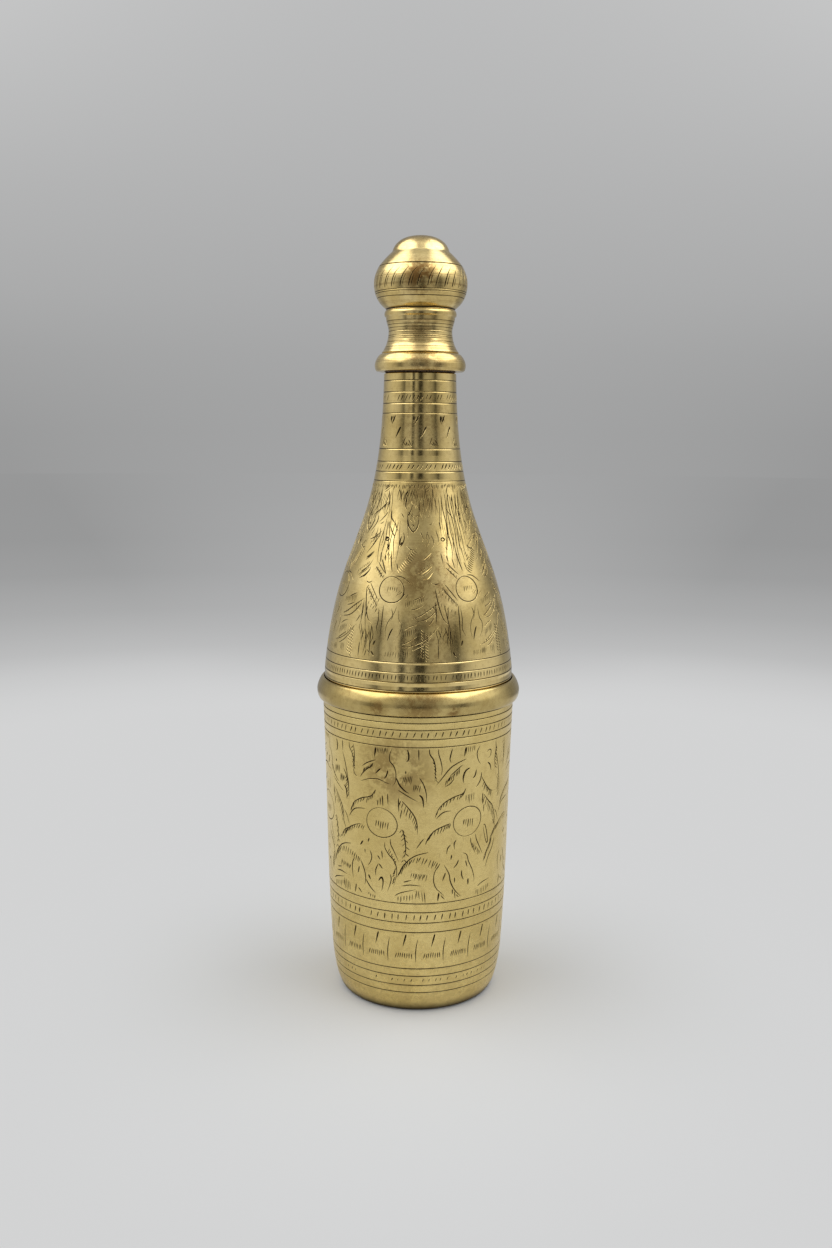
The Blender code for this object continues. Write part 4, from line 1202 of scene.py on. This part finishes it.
def cup(number, material):
    """A cup with a beaded rim, turned lines under it and a rounded base."""
    node = f"cup_{number}"
    rim_radius, base, rim = corner(node)
    neck = rim_radius - RIM_BEAD
    base_radius = CUP_BASE_RADIUS - CUP_STEP * (number - 1)
    taper = (neck - base_radius) / (rim - base)

    def side(height):
        return base_radius + taper * (height - base)

    outer = [(neck - 0.15, rim - 0.06), (neck, rim - 0.15)]
    outer += [(neck + RIM_BEAD * sin(turn), rim - 1 + 0.9 * cos(turn))
              for turn in np.linspace(0.35, pi - 0.35, 9)]
    for height in (rim - fall for fall in CUP_LINES):
        outer += [(side(height + 0.15), height + 0.15), (side(height) - 0.1, height),
                  (side(height - 0.15), height - 0.15)]
    outer += [(side(height), height) for height in np.linspace(rim - 30, base + 2, 12)]
    outer += [*quarter_turn((side(base + 2), base + 2), (base_radius - 2, base), False)[1:],
              (base_radius - 2, base), (base_radius - 5, base), (0, base)]
    floor = base + CUP_WALL
    inside = [(0, floor), (base_radius - 3, floor), (base_radius - 1.9, floor + 0.3),
              (base_radius - 1.2, floor + 1.0)]
    inside += [(side(height) - CUP_WALL, height) for height in np.linspace(base + 4, rim - 0.2, 14)]
    inside += [(neck - 0.8, rim), (neck - 0.3, rim), (neck - 0.15, rim - 0.06)]
    skin = Skin()
    skin.turn(outer, CUP_COLUMNS)
    skin.turn(inside, CUP_COLUMNS)
    name = f"drinking_cup_{number}"
    piece(name, skin.mesh(name), material, node, node)


# Materials

class Tree:
    """Short way to write a node tree."""

    def __init__(self, owner):
        owner.use_nodes = True
        self.nodes = owner.node_tree.nodes
        self.links = owner.node_tree.links

    def add(self, kind, inputs=(), **settings):
        """A node with its settings, and (input, value or socket) pairs; returns its first output."""
        node = self.nodes.new("ShaderNode" + kind)
        for name, value in settings.items():
            setattr(node, name, value)
        for key, value in inputs:
            self.give(node.inputs[key], value)
        return node.outputs[0]

    def give(self, socket, value):
        """Set an input to a value, or link a socket to it."""
        if isinstance(value, bpy.types.NodeSocket):
            self.links.new(value, socket)
        else:
            socket.default_value = value

    def math(self, operation, a, b=0.0, clamp=False):
        """Result of a sum on one or two values or sockets."""
        return self.add("Math", [(0, a), (1, b)], operation=operation, use_clamp=clamp)

    def place(self, output):
        """Where the shaded point is, as the named output of Texture Coordinate."""
        return self.add("TexCoord").node.outputs[output]

    def split(self, vector):
        """The x, y and z of a vector."""
        return self.add("SeparateXYZ", [(0, vector)]).node.outputs

    def noise(self, vector, scale, detail=2.0, roughness=0.5, stretch=(1, 1, 1), turn=(0, 0, 0)):
        """Noise, about 0.5 in the middle, on a turned and stretched vector."""
        if (stretch, turn) != ((1, 1, 1), (0, 0, 0)):
            vector = self.add("Mapping", [("Vector", vector), ("Scale", stretch), ("Rotation", turn)])
        return self.add("TexNoise", [("Vector", vector), ("Scale", scale), ("Detail", detail),
                                     ("Roughness", roughness)])

    def fit(self, value, low, high, to_low=0.0, to_high=1.0):
        """Smooth step from one range to another."""
        return self.add("MapRange", [(0, value), (1, low), (2, high), (3, to_low), (4, to_high)],
                        interpolation_type="SMOOTHSTEP")

    def blend(self, share, first, second):
        """Mix of two colours."""
        node = self.add("Mix", [("Factor", share)], data_type="RGBA").node
        for key, value in (("A_Color", first), ("B_Color", second)):
            socket = next(item for item in node.inputs if item.identifier == key)
            self.give(socket, value)
        return next(item for item in node.outputs if item.identifier == "Result_Color")

    def ramp(self, value, stops):
        """Colour ramp through (position, colour) stops."""
        node = self.add("ValToRGB", [(0, value)]).node
        elements = node.color_ramp.elements
        while len(elements) < len(stops):
            elements.new(1.0)
        for element, (position, colour) in zip(elements, stops):
            element.position = position
            element.color = colour
        return node.outputs[0]


def grey(level):
    """Linear colour of a pale, slightly cool screen grey from 0 to 255."""
    value = ((level / 255 + 0.055) / 1.055) ** 2.4
    return (value * 0.995, value, value * 1.004, 1)


def white(strength):
    """Colour of white light of a strength."""
    return (strength, strength, strength, 1)


# Colour of patina, also given to the spots that stand in for dark reflections and for shade at the foot
# (painted reflection, painted shade)
PATINA_AND_SHADE = (0.195, 0.10, 0.028, 1)
# Colour of dirt in the cuts and of painted shade in the seams and along the bottom of the foot
GRIME_AND_SHADE = (0.035, 0.022, 0.010, 1)
STAIN_AND_SHADE_EDGE = (1.3, 0.3)                    # shares of a spot's radius at which it ends and is full, for patina and painted shade alike
STAIN_AND_SHADE_ROUGH, DIRT_AND_SHADE_ROUGH = 0.22, 0.3        # how much rougher the spots of patina and painted shade, and the dirt and painted shade, are

# Pale and deep tone, roughness and what else brass() takes
FINISHES = {
    # Satin: the stain centred at the middle of the foot and the band along its bottom edge darken the bottom
    # as painted shade.
    "satin_brass": dict(
        pale=(0.85, 0.67, 0.275, 1), deep=(0.73, 0.56, 0.21, 1), roughness=0.29, waves=0.03,
        stains_and_shade=[((-8, -34, 96), 15, 0.5), ((0, 0, 0), 50, 0.22)], wear=0.3, turning=0.1,
        mottled=0.18, soiled_and_shaded=(4.5, -0.5, 0.95)),
    "polished_brass": dict(
        pale=(0.86, 0.675, 0.30, 1), deep=(0.70, 0.53, 0.205, 1), roughness=0.09, waves=0.06,
        stains_and_shade=[((3, -26, 166), 13, 0.6), ((1, -19, 195), 8, 0.45), ((4, -33, 146), 13, 0.4),
                ((1, -14, 222), 12, 0.3)], grit=0.006, calm=212),
    # Bead: the large stain at its front stands in for the dark reflection across the middle of the bead
    # (painted reflection); the two small ones are patina.
    "bead_brass": dict(
        pale=(0.63, 0.49, 0.20, 1), deep=(0.48, 0.355, 0.125, 1), roughness=0.18, waves=0.03,
        stains_and_shade=[((1, -39, 122.5), 9, 0.6), ((-15, -37, 119.5), 3.5, 0.7), ((13, -38, 118.5), 3, 0.8)],
        grit=0.008),
    # Knob: the stains on top of the finial and on the front of the flange stand in for dark reflections
    # (painted reflection); the one on the band is patina and the one on the waist darkens its front.
    "knob_brass": dict(
        pale=(0.85, 0.675, 0.315, 1), deep=(0.65, 0.485, 0.185, 1), roughness=0.15, waves=0.05,
        stains_and_shade=[((0, -17, 274), 7.5, 0.9), ((0, -12, 256), 6, 0.5), ((0, -6, 290), 7, 0.4),
                ((2, -17, 243.5), 8, 0.5)], grit=0.02, turning=0.7, ring_scale=1000),
    "thread_brass": dict(pale=(0.60, 0.44, 0.18, 1), deep=(0.42, 0.30, 0.11, 1), roughness=0.34),
    "cup_brass": dict(pale=(0.80, 0.64, 0.32, 1), deep=(0.66, 0.51, 0.22, 1), roughness=0.24, waves=0.02),
}


def stain_and_shade_share(tree, place, clouds, wear, stains_and_shade):
    """How much patina each place has: here and there all over, and spotty round the given spots, some of
    which are painted dark reflections and painted shade.
    """
    blotch, mottle = clouds
    stained_and_shaded = tree.fit(blotch, 0.60, 0.78, 0.0, wear)
    spots = tree.math("ADD", tree.math("MULTIPLY", blotch, 0.6), tree.math("MULTIPLY", mottle, 0.4))
    for spot, size, strength in stains_and_shade:
        away = tree.add("VectorMath", [(0, place), (1, Vector(spot) * MM)], operation="DISTANCE")
        edge, full = (size * share * MM for share in STAIN_AND_SHADE_EDGE)
        near = tree.fit(away.node.outputs["Value"], edge, full)
        spotty = tree.fit(spots, 0.43, 0.53, 0.25 * strength, 1.05 * strength)
        stained_and_shaded = tree.math("MAXIMUM", stained_and_shaded, tree.math("MULTIPLY", near, spotty))
    return stained_and_shaded


def scratches(tree, place):
    """Thin scratches in two directions: 1 inside them, 0 outside."""
    first = tree.noise(place, 260, 3, 0.6, (1, 1, 9), (0.5, 0.9, 0.2))
    second = tree.noise(place, 240, 3, 0.6, (9, 1, 1), (0.3, 0.2, 0.8))
    return tree.math("MAXIMUM", tree.fit(first, 0.66, 0.70), tree.fit(second, 0.67, 0.71))


def dirt_and_shade(tree, blotch, height, soiled_and_shaded):
    """How dark each place is: dirt in the cuts, which have a depth each, painted shade in the seams, which
    carry a cut value too, and painted shade along the bottom edge of the foot.
    """
    cut = tree.add("Attribute", attribute_type="GEOMETRY", attribute_name="cut").node.outputs["Fac"]
    dark = tree.math("MULTIPLY", tree.fit(cut, 0.10, 0.40), tree.fit(blotch, 0.25, 0.5, 0.8, 1.0))
    # Painted shade along the bottom edge of the foot, where the bottle meets the floor
    if soiled_and_shaded:
        top, full, strength = soiled_and_shaded
        dark = tree.math("MAXIMUM", dark, tree.fit(height, top * MM, full * MM, 0.0, strength))
    return dark


def brass(name, pale, deep, roughness, waves=0.0, stains_and_shade=(), wear=0.5, grit=0.012, turning=0.2,
          ring_scale=2100, calm=None, mottled=0.26, soiled_and_shaded=None):
    """Old brass: two tones, turning rings, scratches, waves of the hammer, stains and dark cuts, with painted
    dark reflections and painted shade among them.

    waves and grit are how deep the surface waves and how deep its fine marks are, in millimetres.
    Each given stain is ((x, y, z), radius, strength) in millimetres: a spot of patina, though some
    stand in for dark reflections and for shade at the foot (painted reflection, painted shade).  wear
    is how much of the surface is patinated all over, turning how strong its turning rings are and
    mottled how strong its fine mottling is.  Above the height calm the surface hardly waves.  The
    band along the foot is (height where its painted shade begins, height where it is full, strength).
    """
    material = bpy.data.materials.new(name)
    tree = Tree(material)
    shader = tree.nodes["Principled BSDF"]
    place = tree.place("Object")
    x, y, z = tree.split(place)
    square = tree.math("ADD", tree.math("MULTIPLY", x, x), tree.math("MULTIPLY", y, y))
    turned = tree.add("CombineXYZ", [(0, tree.math("SQRT", square)), (2, z)])

    tone = tree.fit(tree.noise(place, 42, 5, 0.6), 0.36, 0.64)
    blotch = tree.noise(place, 130, 6, 0.68)
    mottle = tree.noise(place, 620, 6, 0.7)
    grain = tree.noise(place, 1500, 3, 0.6)
    rings = tree.noise(turned, ring_scale, 3, 0.7)
    scratch = scratches(tree, place)
    # Patina all over and round the given spots; some spots are painted dark reflections and painted shade at
    # the foot
    stained_and_shaded = stain_and_shade_share(tree, place, (blotch, mottle), wear, stains_and_shade)
    # Dirt in the cuts, with painted shade in the seams and along the bottom edge of the foot
    dark = dirt_and_shade(tree, blotch, z, soiled_and_shaded)

    colour = tree.blend(tone, deep, pale)
    for share in (stained_and_shaded, tree.fit(mottle, 0.44, 0.74, 0.0, mottled), tree.math("MULTIPLY", scratch, 0.35),
                  tree.fit(rings, 0.5, 0.75, 0.0, turning)):
        colour = tree.blend(share, colour, PATINA_AND_SHADE)
    tree.give(shader.inputs["Base Color"], tree.blend(dark, colour, GRIME_AND_SHADE))
    shader.inputs["Metallic"].default_value = 1

    rough = tree.fit(grain, 0.3, 0.7, roughness - 0.05, roughness + 0.06)
    rough = tree.math("ADD", rough, tree.math("MULTIPLY", stained_and_shaded, STAIN_AND_SHADE_ROUGH))
    rough = tree.math("ADD", rough, tree.math("MULTIPLY", dark, DIRT_AND_SHADE_ROUGH), clamp=True)
    tree.give(shader.inputs["Roughness"], rough)

    fine = tree.math("ADD", tree.math("MULTIPLY", grain, 0.35), tree.math("MULTIPLY", rings, 0.3 + turning))
    fine = tree.math("SUBTRACT", fine, tree.math("MULTIPLY", scratch, 0.4))
    bump = tree.add("Bump", [("Height", fine), ("Distance", grit * MM)])
    if waves:
        wave = tree.noise(place, 150, 3, 0.55)
        if calm:
            wave = tree.math("MULTIPLY", wave, tree.fit(z, calm * MM, (calm - 12) * MM, 0.3, 1.0))
        bump = tree.add("Bump", [("Height", wave), ("Distance", waves * MM), ("Normal", bump)])
    tree.give(shader.inputs["Normal"], bump)
    return material


def leather(name):
    """Worn, dark oiled leather: pebbled grain with pale rubbed tops."""
    material = bpy.data.materials.new(name)
    tree = Tree(material)
    shader = tree.nodes["Principled BSDF"]
    place = tree.place("Object")
    pebbles = tree.add("TexVoronoi", [("Vector", place), ("Scale", 1500)], feature="SMOOTH_F1")
    cloud = tree.noise(place, 180, 4)
    colour = tree.blend(tree.fit(cloud, 0.35, 0.65), (0.05, 0.028, 0.013, 1), (0.12, 0.07, 0.032, 1))
    colour = tree.blend(tree.fit(pebbles, 0.1, 0.5, 0.35, 0.0), colour, (0.22, 0.14, 0.075, 1))
    tree.give(shader.inputs["Base Color"], colour)
    tree.give(shader.inputs["Roughness"], tree.fit(pebbles, 0.0, 0.6, 0.5, 0.75))
    bump = tree.add("Bump", [("Height", pebbles), ("Distance", 0.08 * MM)])
    bump.node.invert = True
    tree.give(shader.inputs["Normal"], bump)
    return material


# Studio: levels are screen greys from 0 to 255

CAMERA_PLACE = (-0.001, -0.4669, 0.2185)
CAMERA_DOWN = 8.97                         # degrees below level
CAMERA_LEAN = 0.345
LENS, SENSOR = 35.15, 36
FLOOR_RADIUS = 6.0
FLOOR_LIT = (0.05, 0.20)                   # from all light and shadow to a floor that glows in the painted greys below
SIDEWAYS = 0.1                             # square of the sine at which the side levels begin

# Distance from the bottle, level in the middle, level at the sides: painted greys of the floor, darker
# further away as the studio light falls off
FLOOR_LEVELS = ((0.0, 211, 211), (0.45, 212, 211), (0.52, 212, 211), (0.6, 205, 208), (0.7, 193, 200),
                (0.8, 186, 188), (0.92, 180, 180), (1.07, 176, 171), (1.47, 171, 158), (2.1, 169, 152),
                (3.7, 166, 151), (6.0, 165, 152))
# Height of the direction, level in the middle, level at the sides: painted greys of the backdrop, darker low
# down and lighter higher up as the light falls on it
WALL_LEVELS = ((-0.04, 164, 153), (0.0, 163, 155), (0.03, 164, 159), (0.06, 166, 163), (0.104, 171, 171),
               (0.18, 178, 180), (0.25, 184, 191), (0.31, 188, 200), (0.6, 200, 206))
# Direction round the bottle in degrees from the front, and how light the room is there
ROOM = ((-180, 0.33), (-140, 0.34), (-124, 0.48), (-108, 0.60), (-92, 0.70), (-78, 0.66), (-66, 0.54),
        (-57, 0.30), (-50, 0.15), (-44, 0.48), (-35, 0.44), (-26, 0.60), (-22, 0.05), (-18, 0.10),
        (-13, 0.50), (-7, 0.30), (-2, 0.05), (6, 0.05), (13, 0.36), (24, 0.46), (36, 0.36), (44, 0.22),
        (49, 0.09), (55, 0.32), (66, 0.54), (80, 0.68), (100, 0.66), (114, 0.52), (128, 0.30), (180, 0.33))
# The same a little higher up, on either side
UPPER_ROOM = ((0, 0.40), (16, 0.42), (28, 0.55), (38, 0.78), (50, 0.78), (66, 1.0), (84, 1.25),
              (98, 1.1), (116, 0.66), (140, 0.36), (180, 0.33))
ROOM_HEIGHTS = (0.19, 0.33, 0.62, 0.85)    # heights at which the room changes to its next part
FLOOR_MIRRORED = (0.42, 0.6)               # between these the floor's reflection turns into the room's
CEILING = 1.0
CEILING_BEHIND = 0.5
EVEN_LIGHT = (0.97, 0.99, 1.0, 1)
EVEN_STRENGTH = 0.5
SOFTBOX_PLACE = (0.56, -0.1, 0.95)         # of the one on the right
SOFTBOX_SIZE = (0.95, 1.5)
SOFTBOX_TILT = radians(30)
SOFTBOX_POWER = 5.1


def studio():
    """Camera, floor, backdrop and lights."""
    scene = bpy.context.scene
    scene.view_settings.view_transform = "Standard"
    lens = bpy.data.cameras.new("camera")
    lens.lens = LENS
    lens.sensor_width = SENSOR
    camera = bpy.data.objects.new("camera", lens)
    scene.collection.objects.link(camera)
    camera.matrix_world = (Matrix.Translation(CAMERA_PLACE)
                           @ Matrix.Rotation(radians(90 - CAMERA_DOWN), 4, "X")
                           @ Matrix.Rotation(radians(CAMERA_LEAN), 4, "Z"))
    scene.camera = camera
    studio_floor()
    studio_room()
    for side in (-1, 1):
        softbox(side)


def studio_floor():
    """Pale floor that keeps the shadow near the bottle and further away glows in painted greys, darker as the
    light falls off, that run into the backdrop.
    """
    rim = [Vector((sin(turn), cos(turn), 0)) * FLOOR_RADIUS for turn in np.linspace(0, 2 * pi, 97)[:-1]]
    mesh = bpy.data.meshes.new("floor")
    mesh.from_pydata(rim, [], [range(len(rim))])
    mesh.flip_normals()
    floor = bpy.data.objects.new("floor", mesh)
    bpy.context.scene.collection.objects.link(floor)
    material = bpy.data.materials.new("floor")
    tree = Tree(material)
    place = tree.place("Object")
    x, y = tree.split(place)[:2]
    away = tree.add("VectorMath", [(0, place)], operation="LENGTH").node.outputs["Value"]
    colour = backdrop(tree, FLOOR_LEVELS, away, tree.math("DIVIDE", x, away))
    shader = tree.nodes["Principled BSDF"]
    tree.give(shader.inputs["Base Color"], colour)
    shader.inputs["Roughness"].default_value = 0.9
    shader.inputs["Specular IOR Level"].default_value = 0.1
    mirrored = tree.math("MULTIPLY", tree.fit(away, *FLOOR_MIRRORED), seen_by_gloss(tree))
    glow = tree.add("Emission", [("Color", tree.blend(mirrored, colour, room_round(tree, x, y))),
                                 ("Strength", 1.0)])
    mixed = tree.add("MixShader", [(0, tree.fit(away, *FLOOR_LIT)), (1, shader.outputs[0]), (2, glow)])
    tree.give(tree.nodes["Material Output"].inputs["Surface"], mixed)
    mesh.materials.append(material)


def backdrop(tree, levels, place, slant):
    """Grey of the backdrop at a place along its levels; slant is the sine of the way it lies aside."""
    low, high = levels[0][0], levels[-1][0]
    share = tree.math("DIVIDE", tree.math("MULTIPLY", slant, slant), SIDEWAYS, clamp=True)
    reach = tree.add("MapRange", [(0, place), (1, low), (2, high)])
    middle = tree.ramp(reach, [((stop - low) / (high - low), grey(level)) for stop, level, _ in levels])
    sides = tree.ramp(reach, [((stop - low) / (high - low), grey(level)) for stop, _, level in levels])
    return tree.blend(share, middle, sides)


def seen_by_gloss(tree):
    """1 for reflected and refracted rays, 0 for all others."""
    ray = tree.add("LightPath").node.outputs
    return tree.math("ADD", ray["Is Glossy Ray"], ray["Is Transmission Ray"], clamp=True)


def room_round(tree, x, y):
    """Light of the room in the direction (x, y) round the bottle."""
    turn = tree.math("ARCTAN2", x, tree.math("MULTIPLY", y, -1.0))
    turn = tree.add("MapRange", [(0, turn), (1, -pi), (2, pi)])
    return tree.ramp(turn, [(angle / 360 + 0.5, white(strength)) for angle, strength in ROOM])


def studio_room():
    """Even light, with the backdrop for the camera and a room with darker stretches for reflections."""
    world = bpy.data.worlds.new("world")
    bpy.context.scene.world = world
    tree = Tree(world)
    x, y, z = tree.split(tree.place("Generated"))
    turn = tree.math("ARCTAN2", tree.math("ABSOLUTE", x), tree.math("MULTIPLY", y, -1.0))
    upper = tree.ramp(tree.math("DIVIDE", turn, pi),
                      [(angle / 180, white(strength)) for angle, strength in UPPER_ROOM])
    room = tree.blend(tree.fit(z, *ROOM_HEIGHTS[:2]), room_round(tree, x, y), upper)
    ceiling = tree.blend(tree.fit(y, -0.3, 0.5), white(CEILING), white(CEILING_BEHIND))
    room = tree.blend(tree.fit(z, *ROOM_HEIGHTS[2:]), room, ceiling)
    even = tree.add("Background", [("Color", EVEN_LIGHT), ("Strength", EVEN_STRENGTH)])
    seen = tree.add("Background", [("Color", backdrop(tree, WALL_LEVELS, z, x)), ("Strength", 1.0)])
    mirrored = tree.add("Background", [("Color", room), ("Strength", 1.0)])
    lit = tree.add("MixShader", [(0, seen_by_gloss(tree)), (1, even), (2, mirrored)])
    camera_ray = tree.add("LightPath").node.outputs["Is Camera Ray"]
    shown = tree.add("MixShader", [(0, camera_ray), (1, lit), (2, seen)])
    output = next(node for node in tree.nodes if node.type == "OUTPUT_WORLD")
    tree.give(output.inputs["Surface"], shown)


def softbox(side):
    """Long soft light over one side, running from front to back, that fades towards its edges."""
    light = bpy.data.lights.new(f"softbox_{side}", "AREA")
    tree = Tree(light)
    fade = 1.0
    for share in tree.split(tree.add("NewGeometry").node.outputs["Parametric"])[:2]:
        edge = tree.math("ABSOLUTE", tree.math("SUBTRACT", share, 0.5))
        fade = tree.math("MULTIPLY", fade, tree.fit(edge, 0.5, 0.25, 0.0, 1.33))
    tree.give(tree.nodes["Emission"].inputs["Strength"], fade)
    light.shape = "RECTANGLE"
    light.size, light.size_y = SOFTBOX_SIZE
    light.energy = SOFTBOX_POWER
    lamp = bpy.data.objects.new(light.name, light)
    bpy.context.scene.collection.objects.link(lamp)
    lamp.location = Vector(SOFTBOX_PLACE) * Vector((side, 1, 1))
    lamp.rotation_euler = (0, side * SOFTBOX_TILT, 0)


studio()
metals = {name: brass(name, **finish) for name, finish in FINISHES.items()}
lower_body(metals["satin_brass"])
waist_ring(metals["bead_brass"])
shoulder_shell(metals["polished_brass"])
stopper_knob(metals["knob_brass"])
lower_collar(metals["thread_brass"])
neck_bush(metals["thread_brass"])
stopper_plug(metals["thread_brass"])
stopper_seal(leather("seal_leather"))
for cup_number in range(1, 5):
    cup(cup_number, metals["cup_brass"])
